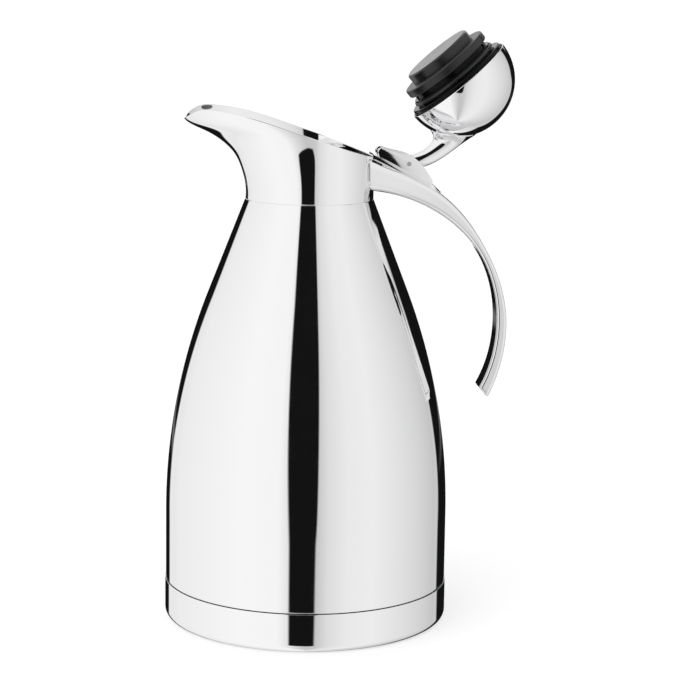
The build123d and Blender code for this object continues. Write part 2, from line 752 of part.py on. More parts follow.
# Snap-on cap that hides the centre screw
cap_high = lip_high + cap_height
with BuildPart() as stopper_cap:
    add(turned(
        [(0, cap_radius, lip_high, cap_high),
         (cap_skirt_inner, cap_skirt_radius, lip_high - cap_skirt_length, lip_high)],
        [(0, cap_skirt_inner - cap_wall, lip_high, cap_high - cap_wall)],
    ))
    rims = stopper_cap.edges().filter_by(GeomType.CIRCLE).group_by(SortBy.RADIUS)[-1]
    chamfer(rims.sort_by(plug_axis)[-1], cap_bevel)
finish(stopper_cap, "stopper_cap")

with BuildPart() as centre_screw:
    add(turned([
        (0, screw_head_radius, screw_floor, screw_floor + screw_head_height),
        (0, screw_radius, screw_floor - centre_screw_length, screw_floor),
    ]))
finish(centre_screw, "centre_screw")
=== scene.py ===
import logging
import math
from dataclasses import astuple, dataclass
from enum import Enum
from typing import Callable, Sequence

import bmesh
import bpy
import numpy as np
from mathutils import Matrix, Vector


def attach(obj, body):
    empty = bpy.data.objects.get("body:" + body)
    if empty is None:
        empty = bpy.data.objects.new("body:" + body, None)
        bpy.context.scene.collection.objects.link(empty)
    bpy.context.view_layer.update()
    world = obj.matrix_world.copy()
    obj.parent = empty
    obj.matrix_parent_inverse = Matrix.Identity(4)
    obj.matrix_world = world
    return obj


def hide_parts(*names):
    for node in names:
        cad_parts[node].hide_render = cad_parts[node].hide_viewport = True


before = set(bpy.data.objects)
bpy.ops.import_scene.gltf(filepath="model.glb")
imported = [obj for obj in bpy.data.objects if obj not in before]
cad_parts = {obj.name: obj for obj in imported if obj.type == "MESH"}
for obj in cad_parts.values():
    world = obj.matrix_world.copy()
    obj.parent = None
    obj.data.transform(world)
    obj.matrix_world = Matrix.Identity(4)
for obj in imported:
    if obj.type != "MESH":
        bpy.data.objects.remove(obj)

MM = 0.001
GUARD = 0.15            # flats keep a row of points this near to each rounding, for a clean reflection
SAME_POINT = 0.002      # points nearer than this become one
NECK_RADIUS = 33.4      # of the shell and of the collar round it
NECK_HEIGHT = 223.2
COLLAR_RADIUS = NECK_RADIUS + 0.05      # where the handle and its bracket stand off the collar
PIN_X, PIN_Z = 51.4, 241.9              # middle of the hinge pin
Point = tuple[float, float]
Gap = Callable[[np.ndarray], np.ndarray]        # distance of points from a face
log = logging.getLogger("carafe")


class Body(Enum):
    """Bodies of the frame that pieces ride on."""

    CARAFE = "carafe"
    LID = "lid"


# Nodes and colours


def linear(colour: str) -> tuple[float, float, float, float]:
    """Turn an sRGB hex colour to linear.

    Args:
        colour: Six hex digits after a hash sign.

    Returns:
        Linear red, green and blue, and a full alpha.
    """
    parts = [int(colour[i:i + 2], 16) / 255 for i in (1, 3, 5)]
    red, green, blue = (c / 12.92 if c <= 0.04045 else ((c + 0.055) / 1.055) ** 2.4 for c in parts)
    return red, green, blue, 1.0


def add(tree: bpy.types.NodeTree, kind: str, inputs: dict | None = None, **settings) -> bpy.types.Node:
    """Add a node to a tree.

    Args:
        tree: Shader or geometry tree.
        kind: Type name of the node.
        inputs: A value or another node's output socket for each input, by name or place.
        **settings: Properties of the node.

    Returns:
        The new node.
    """
    node = tree.nodes.new(kind)
    for name, value in settings.items():
        setattr(node, name, value)
    for name, value in (inputs or {}).items():
        if isinstance(value, bpy.types.NodeSocket):
            tree.links.new(value, node.inputs[name])
        else:
            node.inputs[name].default_value = value
    return node


def cleared(owner: bpy.types.Material | bpy.types.World) -> bpy.types.NodeTree:
    """Empty a node tree.

    Args:
        owner: Material or world that the tree belongs to.

    Returns:
        The empty tree.
    """
    owner.use_nodes = True
    owner.node_tree.nodes.clear()
    return owner.node_tree


def linked(name: str, data: bpy.types.ID) -> bpy.types.Object:
    """Put a new object in the scene.

    Args:
        name: Name of the object.
        data: Mesh, lamp or camera that it shows.

    Returns:
        The object, at the origin.
    """
    made = bpy.data.objects.new(name, data)
    bpy.context.scene.collection.objects.link(made)
    return made


# Finishes


@dataclass(frozen=True)
class Finish:
    """Material of a piece: what it is made of, and what its making leaves on the surface.

    Marks are the fine relief, and patches are duller and glossier places. Their widths and the
    marks' depth are in millimetres.
    """

    name: str
    slot: str
    colour: str
    roughness: float
    metallic: float = 0.0
    mark: float = 1.0
    mark_detail: float = 2.0    # levels of finer marks
    mark_scale: tuple[float, float, float] = (1, 1, 1)      # less than one draws them out along an axis
    depth: float = 0.01
    patch: float = 8.0
    patch_detail: float = 2.0
    haze: float = 0.0           # difference between the dullest and the glossiest places
    shine: float = 0.5
    bloom: float = 0.0          # lightness that fine texture shows at a flat angle
    bloom_spread: float = 0.5

    def material(self) -> bpy.types.Material:
        """Make the material once, and give it again after that.

        Returns:
            The Blender material.
        """
        known = bpy.data.materials.get(self.name)
        if known:
            return known
        material = bpy.data.materials.new(self.name)
        tree = cleared(material)
        relief = add(tree, "ShaderNodeBump", {
            "Height": self.marks(tree), "Distance": self.depth * MM, "Strength": 1.0,
        })
        shader = add(tree, "ShaderNodeBsdfPrincipled", {
            "Base Color": linear(self.colour), "Roughness": self.gloss(tree) if self.haze else self.roughness,
            "Metallic": self.metallic, "Specular IOR Level": self.shine, "Sheen Weight": self.bloom,
            "Sheen Roughness": self.bloom_spread, "Normal": relief.outputs["Normal"],
        })
        add(tree, "ShaderNodeOutputMaterial", {"Surface": shader.outputs["BSDF"]})
        return material

    def grain(self, tree: bpy.types.NodeTree, size: float, detail: float,
              scale: tuple[float, float, float] = (1, 1, 1)) -> bpy.types.NodeSocket:
        """Add a cloudy pattern on the object's own coordinates.

        Args:
            tree: The material's tree.
            size: Width of one cloud, in millimetres.
            detail: Levels of finer clouds.
            scale: Factor on the coordinates along each axis.

        Returns:
            The pattern's value, about 0.5 on average.
        """
        place = add(tree, "ShaderNodeTexCoord")
        laid = add(tree, "ShaderNodeMapping", {"Vector": place.outputs["Object"], "Scale": scale})
        noise = add(tree, "ShaderNodeTexNoise", {
            "Vector": laid.outputs["Vector"], "Scale": 1 / (size * MM), "Detail": detail,
        })
        return noise.outputs["Fac"]

    def marks(self, tree: bpy.types.NodeTree) -> bpy.types.NodeSocket:
        """Add the pattern that gives the relief its height."""
        return self.grain(tree, self.mark, self.mark_detail, self.mark_scale)

    def gloss(self, tree: bpy.types.NodeTree) -> bpy.types.NodeSocket:
        """Add the roughness with its patches.

        Args:
            tree: The material's tree.

        Returns:
            The roughness.
        """
        spots = add(tree, "ShaderNodeMapRange", {
            "Value": self.grain(tree, self.patch, self.patch_detail), "From Min": 0.3, "From Max": 0.7,
            "To Min": max(self.roughness - self.haze / 2, 0), "To Max": self.roughness + self.haze / 2,
        })
        return spots.outputs["Result"]


@dataclass(frozen=True)
class PolishedSteel(Finish):
    """Spun stainless steel buffed to a mirror: reflections swim on slow waves, with faint haze."""

    metallic: float = 1.0
    mark: float = 38.0
    mark_detail: float = 0.0
    depth: float = 0.03
    patch: float = 9.5
    patch_detail: float = 3.0
    haze: float = 0.03


@dataclass(frozen=True)
class CastSteel(Finish):
    """Investment-cast stainless steel polished by hand: bright, with a slight orange peel."""

    metallic: float = 1.0
    mark: float = 7.0
    mark_detail: float = 1.0
    depth: float = 0.008
    patch: float = 7 / 3
    patch_detail: float = 3.0
    haze: float = 0.05


@dataclass(frozen=True)
class TurnedSteel(Finish):
    """Bar stock turned on a lathe: satin steel with fine rings."""

    metallic: float = 1.0
    mark: float = 0.35          # coarser than the real feed, so that it shows
    mark_detail: float = 1.0
    mark_scale: tuple[float, float, float] = (1, 0.1, 1)
    patch: float = 2.8
    haze: float = 0.1


@dataclass(frozen=True)
class DrawnSteel(Finish):
    """Deep-drawn stainless steel left as drawn: grey satin with lines up the wall."""

    metallic: float = 1.0
    mark: float = 0.8
    mark_detail: float = 1.0
    mark_scale: tuple[float, float, float] = (1, 1, 0.04)
    patch: float = 16.0
    haze: float = 0.12


@dataclass(frozen=True)
class SinteredMetal(Finish):
    """Pressed and sintered metal powder: dull grey and grainy."""

    metallic: float = 1.0
    mark: float = 0.4
    mark_detail: float = 3.0
    depth: float = 0.1


@dataclass(frozen=True)
class MouldedPlastic(Finish):
    """Injection-moulded plastic: the tool's even texture under a soft gloss."""

    mark: float = 0.5           # coarser than the real spark texture, so that it shows
    depth: float = 0.003
    haze: float = 0.08
    shine: float = 0.1          # under the usual 0.5, matched to the plug's nearly black sides
    bloom_spread: float = 0.3


@dataclass(frozen=True)
class SiliconeRubber(Finish):
    """Compression-moulded silicone: smooth, soft light with a bloom at its edges."""

    mark: float = 1.2
    depth: float = 0.015
    patch: float = 6.0
    haze: float = 0.1
    bloom: float = 0.08
    bloom_spread: float = 0.4


@dataclass(frozen=True)
class RigidFoam(Finish):
    """Foam poured in place: matt, with broken cells."""

    mark: float = 1.1
    depth: float = 1.1 / 3

    def marks(self, tree: bpy.types.NodeTree) -> bpy.types.NodeSocket:
        """Add the broken cells.

        Args:
            tree: The material's tree.

        Returns:
            Distance from the middle of a cell.
        """
        place = add(tree, "ShaderNodeTexCoord")
        cells = add(tree, "ShaderNodeTexVoronoi", {
            "Vector": place.outputs["Object"], "Scale": 1 / (self.mark * MM),
        })
        return cells.outputs["Distance"]


MIRROR = PolishedSteel("polished_stainless_steel", "polished_steel", "#F4F4F5", 0.03)
CAST = CastSteel("cast_stainless_steel", "cast_steel", "#F0F0F1", 0.06)
STAMPED = CastSteel("stamped_stainless_steel", "bracket_steel", "#EFEFF0", 0.07, mark=12.0, patch=4.0)
TURNED = TurnedSteel("turned_stainless_steel", "screw_steel", "#D9D9DB", 0.2)
DRAWN = DrawnSteel("drawn_stainless_steel", "drawn_steel", "#D2D2D4", 0.28)
SINTERED = SinteredMetal("sintered_getter_metal", "getter_metal", "#8C8C8E", 0.6)
BLACK = MouldedPlastic("moulded_black_plastic", "black_plastic", "#090A0A", 0.15)
GREY = MouldedPlastic("moulded_grey_plastic", "cap_plastic", "#141515", 0.3, shine=0.5, bloom=0.5)
RUBBER = SiliconeRubber("moulded_silicone_rubber", "seal_rubber", "#111212", 0.34)
FOAM = RigidFoam("rigid_foam", "foam", "#D8D2C0", 0.9)


# Outlines


def unit(vector: np.ndarray) -> np.ndarray:
    """Scale vectors in the last axis to length one."""
    return vector / np.maximum(np.linalg.norm(vector, axis=-1, keepdims=True), 1e-12)


def rounded(corners: Sequence[tuple[float, ...]], closed: bool = False,
            facet: float = 9.0) -> list[Point]:
    """Round the corners of an outline.

    Args:
        corners: Across and up of each corner, and its rounding where it has one.
        closed: Whether the outline returns to its first corner.
        facet: Most degrees that one facet of a rounding turns.

    Returns:
        Points of the outline, with a guard point on the flat beside each rounding.
    """
    points: list[Point] = []
    count = len(corners)
    for i, (across, up, *rounding) in enumerate(corners):
        here = np.array((across, up))
        if not rounding or rounding[0] <= 0 or (not closed and i in (0, count - 1)):
            points.append((across, up))
            continue
        back = np.array(corners[i - 1][:2]) - here
        ahead = np.array(corners[(i + 1) % count][:2]) - here
        to_back, to_ahead = unit(back), unit(ahead)
        opening = math.acos(float(np.clip(to_back @ to_ahead, -1, 1)))
        reach = rounding[0] / math.tan(opening / 2)
        centre = here + unit(to_back + to_ahead) * rounding[0] / math.sin(opening / 2)
        start, end = here + to_back * reach, here + to_ahead * reach
        first = math.atan2(*(start - centre)[::-1])
        turn = (math.atan2(*(end - centre)[::-1]) - first + math.pi) % (2 * math.pi) - math.pi
        steps = max(2, math.ceil(math.degrees(abs(turn)) / facet))
        if np.linalg.norm(back) > reach + 2 * GUARD:
            points.append(tuple(start + to_back * GUARD))
        for k in range(steps + 1):
            angle = first + turn * k / steps
            points.append((centre[0] + rounding[0] * math.cos(angle),
                           centre[1] + rounding[0] * math.sin(angle)))
        if np.linalg.norm(ahead) > reach + 2 * GUARD:
            points.append(tuple(end + to_ahead * GUARD))
    if closed:
        points.append(points[0])
    return points


def arc(centre: Point, radius: float, start: float, end: float, step: float = 2.0) -> list[Point]:
    """Points along an arc.

    Args:
        centre: Middle of the arc.
        radius: Its radius.
        start: Angle where it starts, in degrees from the first axis.
        end: Angle where it ends.
        step: Most distance between two points.

    Returns:
        Points from the start to the end.
    """
    count = max(2, math.ceil(math.radians(abs(end - start)) * radius / step))
    angles = np.radians(np.linspace(start, end, count + 1))
    return [(centre[0] + radius * math.cos(a), centre[1] + radius * math.sin(a)) for a in angles]


def walled(outer: Sequence[Point], wall: float, edge: float) -> list[Point]:
    """Give a sheet its thickness, towards the left of its outline.

    Args:
        outer: Points of the outer face.
        wall: Thickness of the sheet.
        edge: Rounding of its free edges.

    Returns:
        Outline round the sheet, open where it meets the axis.
    """
    points = np.array(outer)
    runs = unit(np.diff(points, axis=0))
    left = np.stack((-runs[:, 1], runs[:, 0]), axis=1)
    turned = unit(np.vstack((left[:1], left[:-1] + left[1:], left[-1:])))
    ahead = np.vstack((left[:1], left))
    inner = points + turned * wall / np.sum(turned * ahead, axis=1, keepdims=True)
    on_axis = points[0, 0] < 1e-6
    first = 0.0 if on_axis else edge
    if on_axis:
        inner[0, 0] = 0.0
    loop = [(*points[0], first), *map(tuple, points[1:-1]), (*points[-1], edge),
            (*inner[-1], edge), *map(tuple, inner[-2:0:-1]), (*inner[0], first)]
    return rounded(loop, closed=not on_axis)


def smooth_values(knots: Sequence[float], values: np.ndarray, at: np.ndarray) -> np.ndarray:
    """Smooth curve through values, with no bend left over at its ends.

    Args:
        knots: Rising places of the values.
        values: One row for each knot.
        at: Places to read the curve at.

    Returns:
        One row for each place.
    """
    x, y = np.asarray(knots, float), np.asarray(values, float)
    count, gaps = len(x), np.diff(x)
    matrix, right = np.zeros((count, count)), np.zeros_like(y)
    for i in range(1, count - 1):
        matrix[i, i - 1:i + 2] = gaps[i - 1], 2 * (gaps[i - 1] + gaps[i]), gaps[i]
        right[i] = 6 * ((y[i + 1] - y[i]) / gaps[i] - (y[i] - y[i - 1]) / gaps[i - 1])
    matrix[0, :3] = gaps[1], -(gaps[0] + gaps[1]), gaps[0]
    matrix[-1, -3:] = gaps[-1], -(gaps[-2] + gaps[-1]), gaps[-2]
    bend = np.linalg.solve(matrix, right)
    k = np.clip(np.searchsorted(x, at, "right") - 1, 0, count - 2)
    a, b = ((x[k + 1] - at) / gaps[k])[:, None], ((at - x[k]) / gaps[k])[:, None]
    rest = ((a ** 3 - a) * bend[k] + (b ** 3 - b) * bend[k + 1]) * (gaps[k] ** 2)[:, None] / 6
    return a * y[k] + b * y[k + 1] + rest


def smooth_line(points: Sequence[Point], count: int, samples: int = 4001) -> np.ndarray:
    """Evenly spaced points of a smooth line through a few points.

    Args:
        points: Points that the line goes through.
        count: Number of points to give.
        samples: Number of points that the line is measured at.

    Returns:
        Points of the line, evenly spaced along it.
    """
    given = np.array(points)
    places = np.r_[0, np.cumsum(np.linalg.norm(np.diff(given, axis=0), axis=1))]
    fine = smooth_values(places, given, np.linspace(0, places[-1], samples))
    along = np.r_[0, np.cumsum(np.linalg.norm(np.diff(fine, axis=0), axis=1))]
    even = np.linspace(0, along[-1], count)
    return np.stack([np.interp(even, along, fine[:, i]) for i in (0, 1)], axis=1)


# Meshes


def piece_of(mesh: bpy.types.Mesh, name: str, finish: Finish, crease: float = 32.0) -> bpy.types.Object:
    """Make a finished object of a mesh.

    Args:
        mesh: The mesh, in metres.
        name: Name of the piece.
        finish: What the piece is made of.
        crease: Degrees over which an edge stays sharp.

    Returns:
        The object, at the origin.
    """
    mesh.name = name
    mesh.shade_smooth()
    mesh.set_sharp_from_angle(angle=math.radians(crease))
    mesh.materials.clear()
    mesh.materials.append(finish.material())
    return linked(name, mesh)


def merged(name: str, meshes: Sequence[bpy.types.Mesh], reach: float = 0.0) -> bpy.types.Mesh:
    """Put meshes together in a new one.

    Args:
        name: Name of the new mesh.
        meshes: Meshes that it takes in.
        reach: Distance in millimetres within which points become one, or zero.

    Returns:
        The new mesh.
    """
    work = bmesh.new()
    for mesh in meshes:
        work.from_mesh(mesh)
    if reach:
        bmesh.ops.remove_doubles(work, verts=work.verts, dist=reach * MM)
    whole = bpy.data.meshes.new(name)
    work.to_mesh(whole)
    work.free()
    return whole


def joined(name: str, finish: Finish, *pieces: bpy.types.Object) -> bpy.types.Object:
    """Put several pieces of one finish in one mesh.

    Args:
        name: Name of the new piece.
        finish: What it is made of.
        *pieces: Pieces that it takes over.

    Returns:
        The new piece.
    """
    mesh = merged(name, [piece.data for piece in pieces])
    for piece in pieces:
        bpy.data.objects.remove(piece)
    return piece_of(mesh, name, finish)


def settled(piece: bpy.types.Object) -> bpy.types.Mesh:
    """Turn an object with modifiers to a plain mesh and remove the object.

    Args:
        piece: Object whose modifiers are done.

    Returns:
        Mesh of the result.
    """
    graph = bpy.context.evaluated_depsgraph_get()
    mesh = bpy.data.meshes.new_from_object(piece.evaluated_get(graph))
    bpy.data.objects.remove(piece)
    return mesh


class Skin:
    """Points and faces of a mesh in the making, in millimetres."""

    def __init__(self) -> None:
        """Start empty."""
        self.points: list[np.ndarray] = []
        self.faces: list[tuple[int, ...]] = []
        self.count = 0

    def place(self, points: np.ndarray) -> np.ndarray:
        """Add points.

        Args:
            points: Points with their three coordinates in the last axis.

        Returns:
            Their indices, in the shape of the points.
        """
        flat = points.reshape(-1, 3)
        self.points.append(flat)
        self.count += len(flat)
        return np.arange(self.count - len(flat), self.count).reshape(points.shape[:-1])

    def grid(self, points: np.ndarray, wrap_rows: bool = False, wrap_columns: bool = True) -> np.ndarray:
        """Cover a grid of points with four-sided faces.

        Args:
            points: Rows and columns of points. Rows go up and columns anticlockwise seen from above.
            wrap_rows: Whether the last row joins the first.
            wrap_columns: Whether the last column joins the first.

        Returns:
            Indices of the points.
        """
        index = self.place(points)
        rows = np.vstack((index, index[:1])) if wrap_rows else index
        full = np.hstack((rows, rows[:, :1])) if wrap_columns else rows
        quads = np.stack((full[:-1, :-1], full[:-1, 1:], full[1:, 1:], full[1:, :-1]), axis=-1)
        self.faces.extend(map(tuple, quads.reshape(-1, 4).tolist()))
        return index

    def fan(self, ring: np.ndarray, middle: np.ndarray, low: bool = False) -> None:
        """Close a ring of points with a fan.

        Args:
            ring: Indices of the ring, anticlockwise seen from above.
            middle: Point in the middle of the fan.
            low: Whether the fan faces down.
        """
        centre = int(self.place(np.asarray(middle, float)[None])[0])
        order = ring[::-1] if low else ring
        self.faces.extend((int(a), int(b), centre) for a, b in zip(order, np.roll(order, -1)))

    def face(self, ring: np.ndarray, low: bool = False) -> None:
        """Close a flat ring of points with one face.

        Args:
            ring: Indices of the ring, anticlockwise seen from above.
            low: Whether the face looks down.
        """
        self.faces.append(tuple(int(i) for i in (ring[::-1] if low else ring)))

    def mesh(self, name: str) -> bpy.types.Mesh:
        """Make the mesh.

        Args:
            name: Name of the mesh.

        Returns:
            The mesh, in metres.
        """
        mesh = bpy.data.meshes.new(name)
        mesh.from_pydata((np.vstack(self.points) * MM).tolist(), [], self.faces)
        mesh.update()
        return mesh


@dataclass(frozen=True)
class Spindle:
    """Axis that a turned piece is turned about."""

    centre: tuple[float, float, float] = (0.0, 0.0, 0.0)
    axis: tuple[float, float, float] = (0.0, 0.0, 1.0)


class NodeTool:
    """Geometry Nodes that make a piece of a drawn mesh and a few values."""

    TITLE = ""
    DRAWING = ""
    VALUES: tuple[tuple[str, str], ...] = ()

    def __init__(self) -> None:
        """Build the tree once for all its pieces."""
        self.tree = bpy.data.node_groups.new(self.TITLE, "GeometryNodeTree")
        inputs = ((self.DRAWING, "NodeSocketGeometry"), *self.VALUES, ("Finish", "NodeSocketMaterial"))
        self.sockets = {name: self.tree.interface.new_socket(
            name=name, in_out="INPUT", socket_type=kind).identifier for name, kind in inputs}
        self.tree.interface.new_socket(name="Piece", in_out="OUTPUT", socket_type="NodeSocketGeometry")
        self.wire()

    def wire(self) -> None:
        """Fill the tree."""
        raise NotImplementedError

    def finish(self, piece: bpy.types.NodeSocket, finish: bpy.types.NodeSocket) -> None:
        """Make the result real, give it its finish and hand it out.

        Args:
            piece: Geometry of the piece.
            finish: Its material.
        """
        real = add(self.tree, "GeometryNodeRealizeInstances", {"Geometry": piece})
        dressed = add(self.tree, "GeometryNodeSetMaterial", {"Geometry": real.outputs[0], "Material": finish})
        add(self.tree, "NodeGroupOutput", {"Piece": dressed.outputs[0]})

    def run(self, drawn: bpy.types.Mesh, finish: Finish, values: dict) -> bpy.types.Object:
        """Make a piece.

        Args:
            drawn: Mesh that the tree starts from, with the name of the piece.
            finish: What the piece is made of.
            values: The other inputs, by name.

        Returns:
            The finished piece.
        """
        name = drawn.name
        work = linked(name, drawn)
        modifier = work.modifiers.new(self.TITLE, "NODES")
        modifier.node_group = self.tree
        for label, value in values.items():
            modifier[self.sockets[label]] = value
        modifier[self.sockets["Finish"]] = finish.material()
        return piece_of(settled(work), name, finish)


class Lathe(NodeTool):
    """Geometry Nodes that turn an outline about an axis."""

    TITLE = "turned_piece"
    DRAWING = "Outline"
    VALUES = (("Segments", "NodeSocketInt"), ("Centre", "NodeSocketVector"), ("Axis", "NodeSocketVector"))

    def wire(self) -> None:
        """Lay a grid whose rows are the outline's points and bend it round the axis."""
        tree = self.tree
        given = add(tree, "NodeGroupInput").outputs
        size = add(tree, "GeometryNodeAttributeDomainSize", {"Geometry": given["Outline"]})
        rows = size.outputs["Point Count"]
        columns = add(tree, "FunctionNodeIntegerMath", {0: given["Segments"], 1: 1}, operation="ADD")
        grid = add(tree, "GeometryNodeMeshGrid",
                   {"Vertices X": columns.outputs[0], "Vertices Y": rows})
        index = add(tree, "GeometryNodeInputIndex").outputs[0]
        row = add(tree, "FunctionNodeIntegerMath", {0: index, 1: rows}, operation="MODULO")
        column = add(tree, "FunctionNodeIntegerMath", {0: index, 1: rows}, operation="DIVIDE_FLOOR")
        share = add(tree, "ShaderNodeMath", {0: column.outputs[0], 1: given["Segments"]}, operation="DIVIDE")
        angle = add(tree, "ShaderNodeMath", {0: share.outputs[0], 1: 2 * math.pi}, operation="MULTIPLY")
        place = add(tree, "GeometryNodeInputPosition").outputs[0]
        profile = add(tree, "GeometryNodeSampleIndex", {
            "Geometry": given["Outline"], "Value": place, "Index": row.outputs[0],
        }, data_type="FLOAT_VECTOR")
        spun = add(tree, "ShaderNodeVectorRotate",
                   {"Vector": profile.outputs["Value"], "Angle": angle.outputs[0]}, rotation_type="Z_AXIS")
        lean = add(tree, "FunctionNodeAlignRotationToVector", {"Vector": given["Axis"]}, axis="Z")
        leaned = add(tree, "FunctionNodeRotateVector",
                     {"Vector": spun.outputs[0], "Rotation": lean.outputs[0]})
        moved = add(tree, "ShaderNodeVectorMath", {0: leaned.outputs[0], 1: given["Centre"]}, operation="ADD")
        bent = add(tree, "GeometryNodeSetPosition",
                   {"Geometry": grid.outputs["Mesh"], "Position": moved.outputs[0]})
        closed = add(tree, "GeometryNodeMergeByDistance",
                     {"Geometry": bent.outputs[0], "Distance": SAME_POINT * MM})
        self.finish(closed.outputs[0], given["Finish"])

    def turn(self, name: str, outline: Sequence[Point], finish: Finish, spindle: Spindle = Spindle(),
             segments: int = 256) -> bpy.types.Object:
        """Turn an outline to a piece.

        Args:
            name: Name of the piece.
            outline: Radius and height of each point, up the outside and down the inside.
            finish: What the piece is made of.
            spindle: Axis of the piece.
            segments: Facets round the axis.

        Returns:
            The finished piece.
        """
        drawn = bpy.data.meshes.new(name)
        drawn.from_pydata([(r * MM, 0, h * MM) for r, h in outline],
                          [(i, i + 1) for i in range(len(outline) - 1)], [])
        return self.run(drawn, finish, {
            "Segments": segments, "Centre": [c * MM for c in spindle.centre], "Axis": list(spindle.axis),
        })


@dataclass(frozen=True)
class ScrewKind:
    """Sizes of one kind of socket screw, in the order of the screw tree's inputs."""

    head: float
    foot: float                 # radius under the head, the same as head on a flat seat
    head_height: float
    base: float                 # where the head starts, from the seat
    shank: float
    length: float
    socket: float
    socket_depth: float


class ScrewBox(NodeTool):
    """Geometry Nodes that set one kind of screw at several places."""

    TITLE = "socket_screws"
    DRAWING = "Places"
    SIZES = ("Head", "Foot", "Head Height", "Base", "Shank", "Length", "Socket", "Socket Depth")
    VALUES = tuple((name, "NodeSocketFloat") for name in SIZES)

    def wire(self) -> None:
        """Make a head with a hexagon socket and a shank, and set it on every place."""
        tree = self.tree
        given = add(tree, "NodeGroupInput").outputs
        cone = add(tree, "GeometryNodeMeshCone", {
            "Vertices": 48, "Radius Top": given["Head"], "Radius Bottom": given["Foot"],
            "Depth": given["Head Height"],
        })
        head = self.raised(cone.outputs["Mesh"], given["Base"])
        top = add(tree, "ShaderNodeMath", {0: given["Base"], 1: given["Head Height"]}, operation="ADD")
        deep = add(tree, "ShaderNodeMath", {0: given["Socket Depth"], 1: 2.0}, operation="MULTIPLY")
        key = add(tree, "GeometryNodeMeshCylinder",
                  {"Vertices": 6, "Radius": given["Socket"], "Depth": deep.outputs[0]})
        keyed = self.raised(key.outputs["Mesh"], top.outputs[0])
        cut = add(tree, "GeometryNodeMeshBoolean", {"Mesh 1": head, "Mesh 2": keyed},
                  operation="DIFFERENCE")
        rod = add(tree, "GeometryNodeMeshCylinder",
                  {"Vertices": 32, "Radius": given["Shank"], "Depth": given["Length"]})
        half = add(tree, "ShaderNodeMath", {0: given["Length"], 1: -0.5}, operation="MULTIPLY")
        shank = self.raised(rod.outputs["Mesh"], half.outputs[0])
        screw = add(tree, "GeometryNodeJoinGeometry")
        for part in (cut.outputs[0], shank):
            tree.links.new(part, screw.inputs[0])
        facing = add(tree, "GeometryNodeInputNamedAttribute", {"Name": "facing"}, data_type="FLOAT_VECTOR")
        lean = add(tree, "FunctionNodeAlignRotationToVector", {"Vector": facing.outputs[0]}, axis="Z")
        placed = add(tree, "GeometryNodeInstanceOnPoints", {
            "Points": given["Places"], "Instance": screw.outputs[0], "Rotation": lean.outputs[0],
        })
        self.finish(placed.outputs[0], given["Finish"])

    def raised(self, shape: bpy.types.NodeSocket, height: bpy.types.NodeSocket) -> bpy.types.NodeSocket:
        """Move a shape along the screw's axis.

        Args:
            shape: Geometry to move.
            height: How far it moves up.

        Returns:
            The moved geometry.
        """
        by = add(self.tree, "ShaderNodeCombineXYZ", {"Z": height}).outputs[0]
        return add(self.tree, "GeometryNodeTransform", {"Geometry": shape, "Translation": by}).outputs[0]

    def drive(self, name: str, kind: ScrewKind, places: Sequence[Sequence[float]],
              facings: Sequence[Sequence[float]], finish: Finish) -> bpy.types.Object:
        """Set screws at places.

        Args:
            name: Name of the piece.
            kind: Sizes of the screws.
            places: Point on each screw's seat, in millimetres.
            facings: Direction that each head faces.
            finish: What the screws are made of.

        Returns:
            All the screws as one piece.
        """
        points = bpy.data.meshes.new(name)
        points.from_pydata([[c * MM for c in place] for place in places], [], [])
        facing = points.attributes.new("facing", "FLOAT_VECTOR", "POINT")
        facing.data.foreach_set("vector", np.array(facings, np.float32).ravel())
        return self.run(points, finish, {n: s * MM for n, s in zip(self.SIZES, astuple(kind))})

    def drive_outwards(self, name: str, kind: ScrewKind, middle: Sequence[float], reach: float,
                       rays: Sequence[Sequence[float]], finish: Finish) -> bpy.types.Object:
        """Set screws inside a round wall, with their heads towards its middle.

        Args:
            name: Name of the piece.
            kind: Sizes of the screws.
            middle: Middle of the round.
            reach: Distance of the seats from the middle.
            rays: Direction from the middle to each screw.
            finish: What the screws are made of.

        Returns:
            All the screws as one piece.
        """
        places = [[m + reach * r for m, r in zip(middle, ray)] for ray in rays]
        return self.drive(name, kind, places, [[-r for r in ray] for ray in rays], finish)


# Fitting pieces to the frame


def fit(piece: bpy.types.Object, body: Body, finish: Finish, *nodes: str) -> None:
    """Let a piece ride on its body in the place of its CAD nodes.

    Args:
        piece: Finished piece.
        body: Body that it rides on.
        finish: What it is made of; not used.
        *nodes: CAD nodes that it stands for.
    """
    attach(piece, body.value)
    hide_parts(*nodes)
    log.info("%s stands for %s on %s", piece.name, ", ".join(nodes), body.value)


def dress(node: str, finish: Finish) -> None:
    """Give a CAD node that keeps its own shape its finish.

    Args:
        node: Name of the node.
        finish: What it is made of.
    """
    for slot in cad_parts[node].material_slots:
        slot.material = finish.material()
    log.info("%s keeps its shape in %s", node, finish.name)


def smoothed(node: str, finish: Finish) -> bpy.types.Object:
    """Copy a CAD node with its faces joined up and its curves smooth.

    Args:
        node: Name of the node.
        finish: What it is made of.

    Returns:
        The copy.
    """
    mesh = merged(node, [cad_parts[node].data], SAME_POINT)
    return piece_of(mesh, f"{node}_smooth", finish, crease=28.0)


# Bottle


